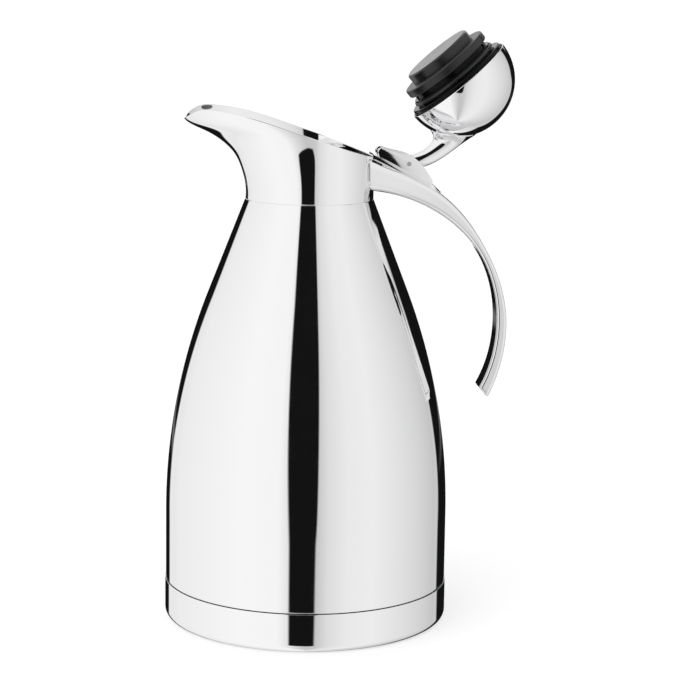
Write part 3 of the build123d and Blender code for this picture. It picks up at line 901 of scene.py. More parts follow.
@dataclass
class Bottle:
    """Double-walled bottle: base cup, outer shell, flask and what stands between them."""

    cup_radius: float = 75.0
    cup_height: float = 20.3
    cup_wall: float = 0.7
    cup_edge: float = 0.2
    cup_corner: float = 4.0
    foot_width: float = 6.5
    foot_recess: float = 2.6
    foot_bend: float = 1.3
    shell_inset: float = 0.4
    shell_wall: float = 0.6
    seam_groove: float = 0.4
    straight_top: float = 56.7
    shoulder_share: float = 1.53
    neck_radius: float = NECK_RADIUS
    neck_height: float = NECK_HEIGHT
    neck_round: float = 0.45
    flask_wall: float = 0.6
    flask_edge: float = 0.15
    vacuum_gap: float = 5.5
    flask_share: float = 1.88
    flask_neck_inset: float = 7.4
    flask_neck_length: float = 12.2
    flask_neck_bend: float = 9.0
    flask_lip_bend: float = 3.0
    flask_low: float = 22.0
    lip_gap: float = 0.7        # from the flask's lip to the shell's neck
    bend_guard: float = 2.0     # from the last point of a straight wall to its arc
    segments: int = 384         # facets round the outer walls

    def side(self, radius: float, low: float, neck: float, neck_low: float, share: float) -> list[Point]:
        """Outline of a wall, its long arc and its straight shoulder.

        Args:
            radius: Radius of the wall.
            low: Height where the wall starts.
            neck: Radius of the neck.
            neck_low: Height of the shoulder's upper end.
            share: Lean of the straight shoulder as a share of its chord's lean.

        Returns:
            Points up to where the straight shoulder starts.
        """
        turn = share * math.atan2(radius - neck, neck_low - self.straight_top)
        rise = (neck_low - self.straight_top) * math.sin(turn)
        bend = (rise - (radius - neck) * math.cos(turn)) / (1 - math.cos(turn))
        wall = [(radius, low), (radius, (low + self.straight_top) / 2),
                (radius, self.straight_top - self.bend_guard)]
        return wall + arc((radius - bend, self.straight_top), bend, 0, math.degrees(turn))

    def build(self, lathe: Lathe) -> None:
        """Build and place every piece of the bottle.

        Args:
            lathe: Nodes that turn the pieces.
        """
        radius, foot = self.cup_radius, self.cup_radius - self.foot_width
        cup = rounded([
            (0, self.foot_recess), (foot - self.foot_recess, self.foot_recess, self.foot_bend),
            (foot, 0, self.foot_bend), (radius, 0, self.cup_corner), (radius, self.cup_height),
        ], facet=6.0)
        fit(lathe.turn("base_cup_steel", walled(cup, self.cup_wall, self.cup_edge), MIRROR,
                       segments=self.segments), Body.CARAFE, MIRROR, "base_cup")

        shell_radius = radius - self.shell_inset
        shell = self.side(shell_radius, self.cup_height + self.seam_groove, self.neck_radius,
                          self.neck_height, self.shoulder_share)
        shell.append((self.neck_radius, self.neck_height))
        fit(lathe.turn("outer_shell_steel", walled(shell, self.shell_wall, self.neck_round), MIRROR,
                       segments=self.segments), Body.CARAFE, MIRROR, "outer_shell")

        flask_neck = self.neck_radius - self.flask_neck_inset
        flask_radius = shell_radius - self.shell_wall - self.vacuum_gap
        flask = self.side(flask_radius, self.flask_low, flask_neck,
                          self.neck_height - self.flask_neck_length, self.flask_share)
        lip = self.neck_height - self.flask_wall
        flask = flask[:-1] + rounded([
            flask[-1], (flask_neck, self.neck_height - self.flask_neck_length, self.flask_neck_bend),
            (flask_neck, lip, self.flask_lip_bend), (self.neck_radius - self.lip_gap, lip),
        ])
        fit(lathe.turn("inner_flask_steel", walled(flask, self.flask_wall, self.flask_edge), DRAWN),
            Body.CARAFE, DRAWN, "inner_flask")
        for node in ("vacuum_bottom", "inner_flask_bottom", "evacuation_seal"):
            dress(node, DRAWN)
        dress("getter", SINTERED)
        dress("neck_gasket", RUBBER)


# Spout collar


@dataclass
class SpoutCollar:
    """Collar over the shoulder, round at the back and drawn out to a beak at the front.

    Each section gives its rise over the neck, how far the beak and the sides stand out over the
    neck, how far the sides run on before they turn in and how broad the tip is.
    """

    neck_radius: float = NECK_RADIUS
    neck_height: float = NECK_HEIGHT
    wall: float = 0.7
    sections: tuple[tuple[float, float, float, float, float], ...] = (
        (0.0, 0.0, 0.0, 0.55, 0.55), (8.8, 0.4, 0.0, 0.55, 0.55), (16.8, 2.7, 0.0, 0.55, 0.53),
        (23.8, 6.3, 0.1, 0.56, 0.50), (29.8, 12.5, 0.8, 0.60, 0.42), (34.8, 20.8, 1.8, 0.68, 0.32),
        (38.8, 29.3, 2.6, 0.76, 0.25), (42.8, 32.9, 3.3, 0.82, 0.20), (49.8, 35.1, 4.4, 0.85, 0.20),
    )
    rim_back_rise: float = 22.1
    rim_slope: float = 18.6
    rim_straight_end: float = -18.0
    rim_crest: Point = (-52.0, 46.8)
    rim_tip: Point = (-67.0, 38.8)
    rows: int = 84
    back_columns: int = 120
    side_columns: int = 90
    halvings: int = 40          # steps in which the rim is found
    lip_points: int = 9

    def rim(self, x: np.ndarray) -> np.ndarray:
        """Height of the slanted rim.

        Args:
            x: Places between the spout and the handle.

        Returns:
            Rise of the rim over the neck at each place.
        """
        slope = math.radians(self.rim_slope)
        start = np.array((self.rim_straight_end,
                          self.rim_back_rise + (self.neck_radius - self.rim_straight_end) * math.tan(slope)))
        heading = np.array((-math.cos(slope), math.sin(slope)))
        height = self.rim_back_rise + (self.neck_radius - x) * math.tan(slope)
        for end, reach in ((self.rim_crest, self.rim_straight_end), (self.rim_tip, self.rim_crest[0])):
            chord = np.array(end) - start
            normal = np.array((heading[1], -heading[0]))
            normal = normal * math.copysign(1, chord @ normal)
            radius = chord @ chord / (2 * (chord @ normal))
            centre = start + normal * radius
            over = np.sqrt(np.maximum(radius ** 2 - (x - centre[0]) ** 2, 0))
            height = np.where(x < reach, centre[1] + over, height)
            out = unit(np.array(end) - centre)
            turned = np.array((-out[1], out[0]))
            start, heading = np.array(end), turned * math.copysign(1, turned @ heading)
        return height

    def surface(self, rise: np.ndarray) -> np.ndarray:
        """Points of the outer face.

        Args:
            rise: Rise over the neck, in rows and columns.

        Returns:
            Points in the same rows and columns.
        """
        table = np.array(self.sections)
        tip = self.neck_radius + table[:, 1]
        side = self.neck_radius + table[:, 2]
        pulls = np.stack((tip, side, table[:, 3] * tip, table[:, 4] * side), axis=1)
        values = smooth_values(table[:, 0], pulls, rise.ravel())
        tip, side, turn_in, tip_side = (v.reshape(rise.shape) for v in values.T)
        back = np.linspace(-90, 90, self.back_columns + 1)[:-1]
        t = np.linspace(0, 1, self.side_columns + 1)[:-1]
        first, last = self.back_columns, self.back_columns + self.side_columns
        x, y = np.empty_like(rise), np.empty_like(rise)
        x[:, :first] = self.neck_radius * np.cos(np.radians(back))
        y[:, :first] = side[:, :first] * np.sin(np.radians(back))
        for part, share, sign in ((slice(first, last), t, 1), (slice(last, None), 1 - t, -1)):
            a, b, c, d = ((1 - share) ** 3, 3 * share * (1 - share) ** 2,
                          3 * share ** 2 * (1 - share), share ** 3)
            x[:, part] = -b * turn_in[:, part] - (c + d) * tip[:, part]
            y[:, part] = sign * (a + b) * side[:, part] + sign * c * tip_side[:, part]
        return np.stack((x, y, self.neck_height + rise), axis=-1)

    def build(self) -> None:
        """Build the collar with its rounded rim."""
        columns = self.back_columns + 2 * self.side_columns
        low, high = np.zeros((1, columns)), np.full((1, columns), self.sections[-1][0])
        for _ in range(self.halvings):
            middle = (low + high) / 2
            under = middle < self.rim(self.surface(middle)[..., 0])
            low, high = np.where(under, middle, low), np.where(under, high, middle)
        edge = self.wall / 2
        shares = np.linspace(0, 1, self.rows)[:, None]
        top = low - edge
        foot_rise = edge / 2
        between = foot_rise + GUARD + shares * (top - 2 * GUARD - foot_rise)
        rise = np.vstack((np.full((1, columns), foot_rise), between, top))
        outer = self.surface(rise)
        along = unit(np.gradient(outer, axis=0))
        across = unit(np.roll(outer, -1, axis=1) - np.roll(outer, 1, axis=1))
        normal = unit(np.cross(across, along))
        inner = outer - normal * self.wall
        middle_line = (outer[-1] + inner[-1]) / 2
        angles = np.radians(np.linspace(0, 180, self.lip_points))[1:-1]
        lip = [middle_line + edge * (math.cos(a) * normal[-1] + math.sin(a) * along[-1]) for a in angles]
        foot = [(outer[0] + inner[0]) / 2 + edge * (math.cos(a) * normal[0] - math.sin(a) * along[0])
                for a in angles[::-1]]
        grid = np.concatenate((outer, np.array(lip), inner[::-1], np.array(foot)))
        skin = Skin()
        skin.grid(grid, wrap_rows=True)
        fit(piece_of(skin.mesh("spout_collar_steel"), "spout_collar_steel", MIRROR, crease=60.0),
            Body.CARAFE, MIRROR, "spout_collar")
        fit(smoothed("neck_insert", BLACK), Body.CARAFE, BLACK, "neck_insert")


# Swept bars


@dataclass
class SweptBar:
    """Bar along a smooth middle line in the XZ plane, cut to shape at both ends."""

    line: Sequence[Point]
    stations: Sequence[tuple[float, ...]]
    samples: int = 1201
    arc_columns: int = 9
    crowding: float = 1.6       # rows draw together towards a fillet by this power
    end_rows: int = 6
    heart_rows: tuple[float, ...] = (0.1, 0.4, 0.7)     # rows over a curved cut, from its middle
    flare: float = 0.6          # most that a fillet stands out, as a share of its radius

    def __post_init__(self) -> None:
        """Work out the middle line and its sections."""
        self.shares = np.linspace(0, 1, self.samples)
        self.middle = smooth_line(self.line, self.samples)
        heading = unit(np.gradient(self.middle, axis=0))
        self.up = np.stack((-heading[:, 1], heading[:, 0]), axis=1)
        table = np.array(self.stations)
        self.sizes = smooth_values(table[:, 0], table[:, 1:], self.shares)

    def oval(self) -> tuple[np.ndarray, np.ndarray]:
        """Oval sections.

        Returns:
            Points across and up in each section, and the directions that they face.
        """
        angles = np.linspace(0, 2 * math.pi, 8 * self.arc_columns, endpoint=False)
        half = self.sizes[:, None, :] / 2
        points = np.stack((half[..., 0] * np.sin(angles), half[..., 1] * np.cos(angles)), axis=-1)
        facing = unit(np.stack((np.sin(angles) * half[..., 1], np.cos(angles) * half[..., 0]), axis=-1))
        return points, facing

    def boxed(self, ceiling: np.ndarray) -> tuple[np.ndarray, np.ndarray]:
        """Rectangular sections with rounded edges, flat at the top where a ceiling cuts them.

        Args:
            ceiling: Height over the middle line that each section reaches at most.

        Returns:
            Points across and up in each section, and the directions that they face.
        """
        half_width, half_height, edge = (self.sizes[:, i, None] / (2, 2, 1)[i] for i in range(3))
        top = np.minimum(half_height, ceiling[:, None])
        start = np.arccos(np.clip(1 - (half_height - top) / edge, -1, 1))
        flat = half_width - edge + edge * np.sin(start)
        ones = np.ones_like(top)
        turn = np.linspace(0, 1, self.arc_columns)
        upper = start + (math.pi / 2 - start) * turn
        lower = math.pi / 2 * (1 + turn)
        side = np.array((-1, 0, 1)) * (half_height - edge - GUARD)
        reach = np.array((0, 0.5, 1)) * (flat - GUARD)
        under = (half_width - edge - GUARD) * np.array((1, 0.5))
        across = np.hstack((reach, half_width - edge + edge * np.sin(upper), half_width * np.ones(3),
                            half_width - edge + edge * np.sin(lower), under))
        up = np.hstack((top * np.ones(3), half_height - edge + edge * np.cos(upper), -side,
                        edge - half_height + edge * np.cos(lower), -half_height * np.ones(2)))
        face_across = np.hstack((0 * reach, np.sin(upper), ones * np.ones(3), np.sin(lower) * ones,
                                 0 * under))
        face_up = np.hstack((ones * np.ones(3), np.cos(upper), 0 * ones * np.ones(3),
                             np.cos(lower) * ones, -ones * np.ones(2)))
        bottom = (np.zeros_like(ones), -half_height, np.zeros_like(ones), -ones)
        columns = [np.hstack((right, low, sign * right[:, :0:-1])) for right, low, sign in
                   zip((across, up, face_across, face_up), bottom, (-1, 1, -1, 1))]
        return np.stack(columns[:2], axis=-1), np.stack(columns[2:], axis=-1)

    def in_space(self, flat: np.ndarray, moved: bool = True) -> np.ndarray:
        """Turn points or directions of the sections to the part's frame.

        Args:
            flat: Across and up in each section.
            moved: Whether the middle line is added, as for points.

        Returns:
            Three coordinates of each.
        """
        x = flat[..., 1] * self.up[:, None, 0] + (self.middle[:, None, 0] if moved else 0)
        z = flat[..., 1] * self.up[:, None, 1] + (self.middle[:, None, 1] if moved else 0)
        return np.stack((x, flat[..., 0], z), axis=-1)

    def cut(self, points: np.ndarray, gap: Gap, at_end: bool) -> np.ndarray:
        """Find where each column of points passes a cutting face.

        Args:
            points: Points of every section.
            gap: Distance from the face, above zero on the side that stays.
            at_end: Whether the face cuts the far end.

        Returns:
            Place of the cut in samples, one for each column.
        """
        kept = gap(points) > 0
        count = len(points)
        if at_end:
            inside = count - 1 - np.argmax(kept[::-1], axis=0)
            outside = np.minimum(inside + 1, count - 1)
        else:
            inside = np.argmax(kept, axis=0)
            outside = np.maximum(inside - 1, 0)
        columns = np.arange(points.shape[1])
        near, far = gap(points[inside, columns][None])[0], gap(points[outside, columns][None])[0]
        share = np.where(inside == outside, 0, near / np.where(near == far, 1, near - far))
        return inside + (outside - inside) * np.clip(share, 0, 1)

    def read(self, points: np.ndarray, places: np.ndarray) -> np.ndarray:
        """Read each column of points at its own places.

        Args:
            points: Points of every section.
            places: Rows of places in samples, one for each column.

        Returns:
            Rows and columns of points.
        """
        whole = np.clip(np.floor(places).astype(int), 0, len(points) - 2)
        rest = (places - whole)[..., None]
        columns = np.arange(points.shape[1])
        return points[whole, columns] * (1 - rest) + points[whole + 1, columns] * rest

    @staticmethod
    def slope(points: np.ndarray, gap: Gap) -> np.ndarray:
        """Direction in which the distance from a face grows, at each point.

        Args:
            points: Places to take it at.
            gap: Distance from the face.

        Returns:
            One vector for each point.
        """
        reach = 0.01
        return np.stack([(gap(points + step) - gap(points - step)) / (2 * reach)
                         for step in reach * np.eye(3)], axis=-1)

    def onto(self, points: np.ndarray, gap: Gap) -> np.ndarray:
        """Move points onto the face that cuts the bar.

        Args:
            points: Points near the face.
            gap: Distance from the face.

        Returns:
            The points on the face.
        """
        for _ in range(3):
            points = points - self.slope(points, gap) * gap(points)[..., None]
        return points

    def rounded_end(self, points: np.ndarray, outward: np.ndarray, edge: float,
                    gap: Gap, at_end: bool) -> list[np.ndarray]:
        """Make the rows that round an edge at a cut, from the bar to the middle of the cut.

        Args:
            points: Points of every section.
            outward: Directions that they face.
            edge: Radius of the rounding.
            gap: Distance from the face that cuts the bar.
            at_end: Whether the face cuts the far end.

        Returns:
            Rows of points.
        """
        rows = []
        for angle in np.radians(np.linspace(0, 90, self.end_rows))[1:]:
            drop = edge * (1 - math.sin(angle))
            place = self.cut(points, lambda p: gap(p) - drop, at_end)[None]
            inset = self.read(outward, place) * edge * (1 - math.cos(angle))
            rows.append((self.read(points, place) - inset)[0])
        rows.append(rows[-1] + unit(rows[-1].mean(axis=0) - rows[-1]) * GUARD)
        return rows

    def skin(self, flat: np.ndarray, facing: np.ndarray, rows: int, end: Gap, start: Gap | None = None,
             edge: float = 0.0, fillet: float = 0.0) -> Skin:
        """Cover the bar between its cuts and round its edges there.

        Args:
            flat: Points across and up in each section.
            facing: The directions that they face.
            rows: Rows of points along the bar.
            end: Distance from the face that cuts the far end.
            start: Distance from the face that cuts the near end, or nothing.
            edge: Rounding at the cuts, if there is no fillet.
            fillet: Radius in which the bar runs out on the face at its far end, or zero.

        Returns:
            The closed skin.
        """
        points, outward = self.in_space(flat), self.in_space(facing, moved=False)
        first = self.cut(points, lambda p: start(p) - edge, False) if start else np.zeros(points.shape[1])
        last = self.cut(points, lambda p: end(p) - (0 if fillet else edge), True)
        shares = np.linspace(0, 1, rows)[:, None]
        shares = np.where(fillet > 0, 1 - (1 - shares) ** self.crowding, shares)
        places = first + shares * (last - first)
        body = self.read(points, places)
        if fillet:
            gap = end(body)
            near = np.clip(fillet - gap, 0, fillet)[..., None]
            spread = fillet - np.sqrt(np.maximum(fillet ** 2 - near ** 2, 0))
            body = body + self.read(outward, places) * np.minimum(spread, self.flare * fillet)
            body = body - self.slope(body, end) * np.where(near > 0, (end(body) - gap)[..., None], 0)
        root = self.rounded_end(points, outward, edge, start, False)[::-1] if start else []
        tail = [] if fillet else self.rounded_end(points, outward, edge, end, True)
        grid = np.concatenate((*[r[None] for r in root], body, *[r[None] for r in tail]))[:, ::-1]
        heart = grid[0].mean(axis=0)
        if start:
            inner = [self.onto(heart + (grid[0] - heart) * share, start) for share in self.heart_rows]
            grid = np.concatenate((np.array(inner), grid))
            heart = self.onto(heart, start)
        skin = Skin()
        index = skin.grid(grid)
        skin.fan(index[0], heart, low=True)
        skin.fan(index[-1], grid[-1].mean(axis=0))
        return skin


# Handle and hinge


@dataclass
class Seat:
    """Sloping plane that the bracket and the handle share, from the collar outwards."""

    x: float = NECK_RADIUS
    z: float = 244.0
    slope: float = 26.5

    @property
    def lean(self) -> tuple[float, float]:
        """Sine and cosine of the slope."""
        return math.sin(math.radians(self.slope)), math.cos(math.radians(self.slope))

    def space(self, along: float | np.ndarray, side: float | np.ndarray,
              over: float | np.ndarray) -> np.ndarray:
        """Turn a place on the seat to the part's frame.

        Args:
            along: Distance from the collar down the slope.
            side: Distance from the middle plane.
            over: Distance over the seat.

        Returns:
            Three coordinates of the place.
        """
        s, c = self.lean
        return np.stack(np.broadcast_arrays(self.x + along * c + over * s, side,
                                            self.z - along * s + over * c), axis=-1)

    def over(self, points: np.ndarray) -> np.ndarray:
        """Distance of points over the seat."""
        s, c = self.lean
        return (points[..., 0] - self.x) * s + (points[..., -1] - self.z) * c


@dataclass
class Handle:
    """Cast handle: a flat bar that thickens towards the collar and is cut off at its tail."""

    line: tuple[Point, ...] = (
        (-8.4, -5.8), (13.5, -12.2), (29.6, -19.7), (44.5, -31.2), (56.3, -45.8),
        (64.5, -62.8), (68.3, -81.4), (67.3, -100.4), (63.6, -114.1), (55.4, -130.0),
    )
    stations: tuple[tuple[float, float, float, float], ...] = (
        (0.0, 35.5, 19.2, 6.0), (0.14, 28.0, 12.4, 4.0), (0.24, 23.0, 10.0, 3.0),
        (0.36, 19.5, 6.7, 2.2), (0.47, 17.5, 4.1, 1.5), (0.58, 16.5, 4.1, 1.4),
        (0.72, 16.0, 5.3, 1.5), (0.86, 16.0, 5.9, 1.6), (1.0, 16.0, 7.8, 1.8),
    )
    collar_radius: float = COLLAR_RADIUS
    steepest: float = 0.3       # least part of a section's height that is square to the seat
    tail_share: float = 0.952
    tail_lean: float = 46.0
    tail_round: float = 1.0
    rows: int = 190
    screw: ScrewKind = ScrewKind(3.2, 3.2, 1.3, 0.0, 2.0, 8.0, 1.3, 0.8)
    screw_drop: float = 9.5
    screw_angle: float = 12.0
    screw_reach: float = 32.5   # radius of the screws' seats inside the collar

    def build(self, seat: Seat, screws: ScrewBox) -> None:
        """Build the handle and the screws that hold it on the collar.

        Args:
            seat: Plane that the handle's top lies in.
            screws: Nodes that set the screws.
        """
        bar = SweptBar([(seat.x + x, seat.z + z) for x, z in self.line], self.stations)
        climb = bar.up @ np.array(seat.lean)
        level = climb > self.steepest       # the rest of the bar has turned away from the seat
        ceiling = np.where(level, -seat.over(bar.middle) / np.maximum(climb, self.steepest), math.inf)
        tail = bar.middle[round(self.tail_share * (bar.samples - 1))]
        lean = math.radians(self.tail_lean)

        def off_collar(points: np.ndarray) -> np.ndarray:
            """Distance outside the collar's round back."""
            return np.hypot(points[..., 0], points[..., 1]) - self.collar_radius

        def over_tail(points: np.ndarray) -> np.ndarray:
            """Distance over the face that cuts the tail."""
            return (points[..., 0] - tail[0]) * math.cos(lean) + (points[..., 2] - tail[1]) * math.sin(lean)

        skin = bar.skin(*bar.boxed(ceiling), self.rows, over_tail, off_collar, edge=self.tail_round)
        fit(piece_of(skin.mesh("handle_steel"), "handle_steel", CAST, crease=40.0),
            Body.CARAFE, CAST, "handle")

        turns = [math.radians(side * self.screw_angle) for side in (-1, 1)]
        fit(screws.drive_outwards("handle_socket_screws", self.screw, (0, 0, seat.z - self.screw_drop),
                                  self.screw_reach, [(math.cos(t), math.sin(t), 0) for t in turns], TURNED),
            Body.CARAFE, TURNED, "handle_screws")


@dataclass
class Hinge:
    """Hinge bracket on the handle, with its pin and screws."""

    pin_x: float = PIN_X
    pin_z: float = PIN_Z
    pin_radius: float = 1.25
    pin_proud: float = 0.3
    cheek_inner: float = 4.3
    cheek_thickness: float = 2.6
    cheek_round: float = 0.45
    cheek_taper: float = 0.024  # the outer faces follow the strip, which narrows to its tail
    strip_thickness: float = 2.0
    strip_length: float = 39.5
    strip_root: float = 3.0
    strip_root_width: float = 20.0
    strip_tail_width: float = 16.5
    strip_bevel: float = 5.0
    strip_toe: float = 0.4      # height of the strip's end under its bevel
    strip_round: float = 0.3
    root_points: int = 25
    tail_points: int = 41
    back_points: int = 48
    bevel_steps: int = 3
    bevel_angle: float = 24.0   # edges that turn more than this are rounded
    stop_overlap: float = 0.5   # how far the stop runs into each cheek
    collar_radius: float = COLLAR_RADIUS
    cheek_foot_along: float = 2.4
    cheek_tail_inset: float = 5.7
    cheek_front: tuple[Point, ...] = ((-16.8, 5.7), (-16.0, 7.7), (-13.8, 8.4))
    cheek_back: tuple[Point, ...] = ((-5.4, 6.1), (2.1, 3.5), (6.6, -0.5))
    cheek_toe: Point = (-0.5, 3.6)
    stop: tuple[Point, ...] = ((2.6, -7.9), (2.6, -3.9), (8.0, -2.3))
    stop_back: tuple[Point, ...] = ((-2.7, 6.2), (-2.7, 1.2))
    screw: ScrewKind = ScrewKind(2.8, 1.5, 1.3, -1.3, 1.5, 8.0, 1.2, 0.9)
    screw_places: tuple[float, float] = (5.0, 11.5)

    def bevelled(self, skin: Skin, name: str, width: float) -> bpy.types.Object:
        """Round the edges of a flat-sided part.

        Args:
            skin: Closed skin of the part.
            name: Name of the part.
            width: Width of the rounding.

        Returns:
            The part, ready to be joined.
        """
        work = linked(name, skin.mesh(name))
        bevel = work.modifiers.new("edges", "BEVEL")
        bevel.width, bevel.segments, bevel.limit_method = width * MM, self.bevel_steps, "ANGLE"
        bevel.angle_limit = math.radians(self.bevel_angle)
        return piece_of(settled(work), name, STAMPED)

    def plate(self, outline: Sequence[Point], low: float, high: float, name: str,
              taper: tuple[float, float] = (0.0, 0.0)) -> bpy.types.Object:
        """Make a plate from an outline in the XZ plane.

        Args:
            outline: Points anticlockwise seen from -Y.
            low: Y of its one face.
            high: Y of its other face.
            name: Name of the plate.
            taper: Rise of each face's Y for each millimetre towards the tail.

        Returns:
            The plate with rounded edges.
        """
        skin = Skin()
        nose = min(x for x, _ in outline)
        rows = np.array([[(x, y + slope * (x - nose), z) for x, z in outline]
                         for y, slope in ((high, taper[1]), (low, taper[0]))])
        index = skin.grid(rows)
        skin.face(index[0], low=True)
        skin.face(index[1])
        return self.bevelled(skin, name, self.cheek_round)

    def cheek_outline(self, seat: Seat) -> tuple[list[Point], np.ndarray]:
        """Outline of a cheek.

        Args:
            seat: Plane that the strip lies on.

        Returns:
            Points of the outline, and the foot of its tail.
        """
        pin = np.array((self.pin_x, self.pin_z))
        over = self.strip_thickness / 2
        foot = seat.space(self.cheek_foot_along, 0, over)[[0, 2]]
        tail = seat.space(self.strip_length - self.cheek_tail_inset, 0, over)[[0, 2]]
        nose, brow, crown = (pin + p for p in self.cheek_front)
        middle, radius = self.circle(nose, brow, crown)
        start, end = (math.degrees(math.atan2(*(p - middle)[::-1])) % 360 for p in (nose, crown))
        front = arc(tuple(middle), radius, start, end, step=0.4)
        back = smooth_line([tuple(crown), *(tuple(pin + p) for p in self.cheek_back),
                            tuple(tail + self.cheek_toe)], self.back_points)[1:]
        return [tuple(tail), *map(tuple, back[::-1]), *front[::-1], tuple(foot)], tail

    @staticmethod
    def circle(a: np.ndarray, b: np.ndarray, c: np.ndarray) -> tuple[np.ndarray, float]:
        """Find the circle through three points.

        Args:
            a: First point.
            b: Second point.
            c: Third point.

        Returns:
            Its centre and radius.
        """
        matrix = 2 * np.array((b - a, c - a))
        centre = np.linalg.solve(matrix, np.array((b @ b - a @ a, c @ c - a @ a)))
        return centre, float(np.linalg.norm(a - centre))

    def strip(self, seat: Seat) -> bpy.types.Object:
        """Make the strip on the handle's flat, hollowed to the collar and bevelled at its tail.

        Args:
            seat: Plane that the strip lies on.

        Returns:
            The strip with rounded edges.
        """
        straight = self.strip_length - self.strip_tail_width / 2
        s, c = seat.lean
        levels = ((0.0, 0.0), (self.strip_toe, 0.0), (self.strip_thickness, self.strip_bevel))
        rows = []
        for over, pulled in levels:
            width = self.strip_root_width / 2
            side = np.linspace(width, -width, self.root_points)
            root = (np.sqrt(self.collar_radius ** 2 - side ** 2) - seat.x - over * s) / c
            share = (root[[0, -1]] + self.strip_root) / (straight + self.strip_root)
            side = side * (1 - share.mean() * (1 - self.strip_tail_width / self.strip_root_width))
            turn = np.radians(np.linspace(-90, 90, self.tail_points))
            tail_half = self.strip_tail_width / 2
            along = np.r_[root, straight + (tail_half - pulled * np.cos(turn)) * np.cos(turn)]
            across = np.r_[side, tail_half * np.sin(turn)]
            rows.append(seat.space(along, across, np.full_like(along, over)))
        skin = Skin()
        index = skin.grid(np.array(rows))
        skin.face(index[0], low=True)
        skin.face(index[-1])
        return self.bevelled(skin, "strip", self.strip_round)

    def build(self, seat: Seat, lathe: Lathe, screws: ScrewBox) -> None:
        """Build the bracket, its pin and its screws.

        Args:
            seat: Plane that the strip lies on.
            lathe: Nodes that turn the pin.
            screws: Nodes that set the screws.
        """
        outline, tail = self.cheek_outline(seat)
        outer = self.cheek_inner + self.cheek_thickness
        stop = [(self.pin_x + x, self.pin_z + z) for x, z in self.stop]
        stop += [(tail[0] + x, tail[1] + z) for x, z in self.stop_back]
        half_stop = self.cheek_inner + self.stop_overlap
        bracket = joined(
            "hinge_bracket_steel", STAMPED, self.strip(seat),
            self.plate(outline, self.cheek_inner, outer, "cheek_back", (0.0, -self.cheek_taper)),
            self.plate(outline, -outer, -self.cheek_inner, "cheek_front", (self.cheek_taper, 0.0)),
            self.plate(stop[::-1], -half_stop, half_stop, "stop"),
        )
        fit(bracket, Body.CARAFE, STAMPED, "hinge_bracket")

        half = outer + self.pin_proud
        pin = rounded([(0, -half), (self.pin_radius, -half, self.pin_proud),
                       (self.pin_radius, half, self.pin_proud), (0, half)], facet=18)
        spindle = Spindle((self.pin_x, 0, self.pin_z), (0, 1, 0))
        fit(lathe.turn("hinge_pin_steel", pin, TURNED, spindle, segments=48),
            Body.CARAFE, TURNED, "hinge_pin")

        places = [seat.space(along, 0, self.strip_thickness) for along in self.screw_places]
        facing = seat.space(0, 0, 1) - seat.space(0, 0, 0)
        fit(screws.drive("bracket_socket_screws", self.screw, places, [facing, facing], TURNED),
            Body.CARAFE, TURNED, "bracket_screws")


# Lid


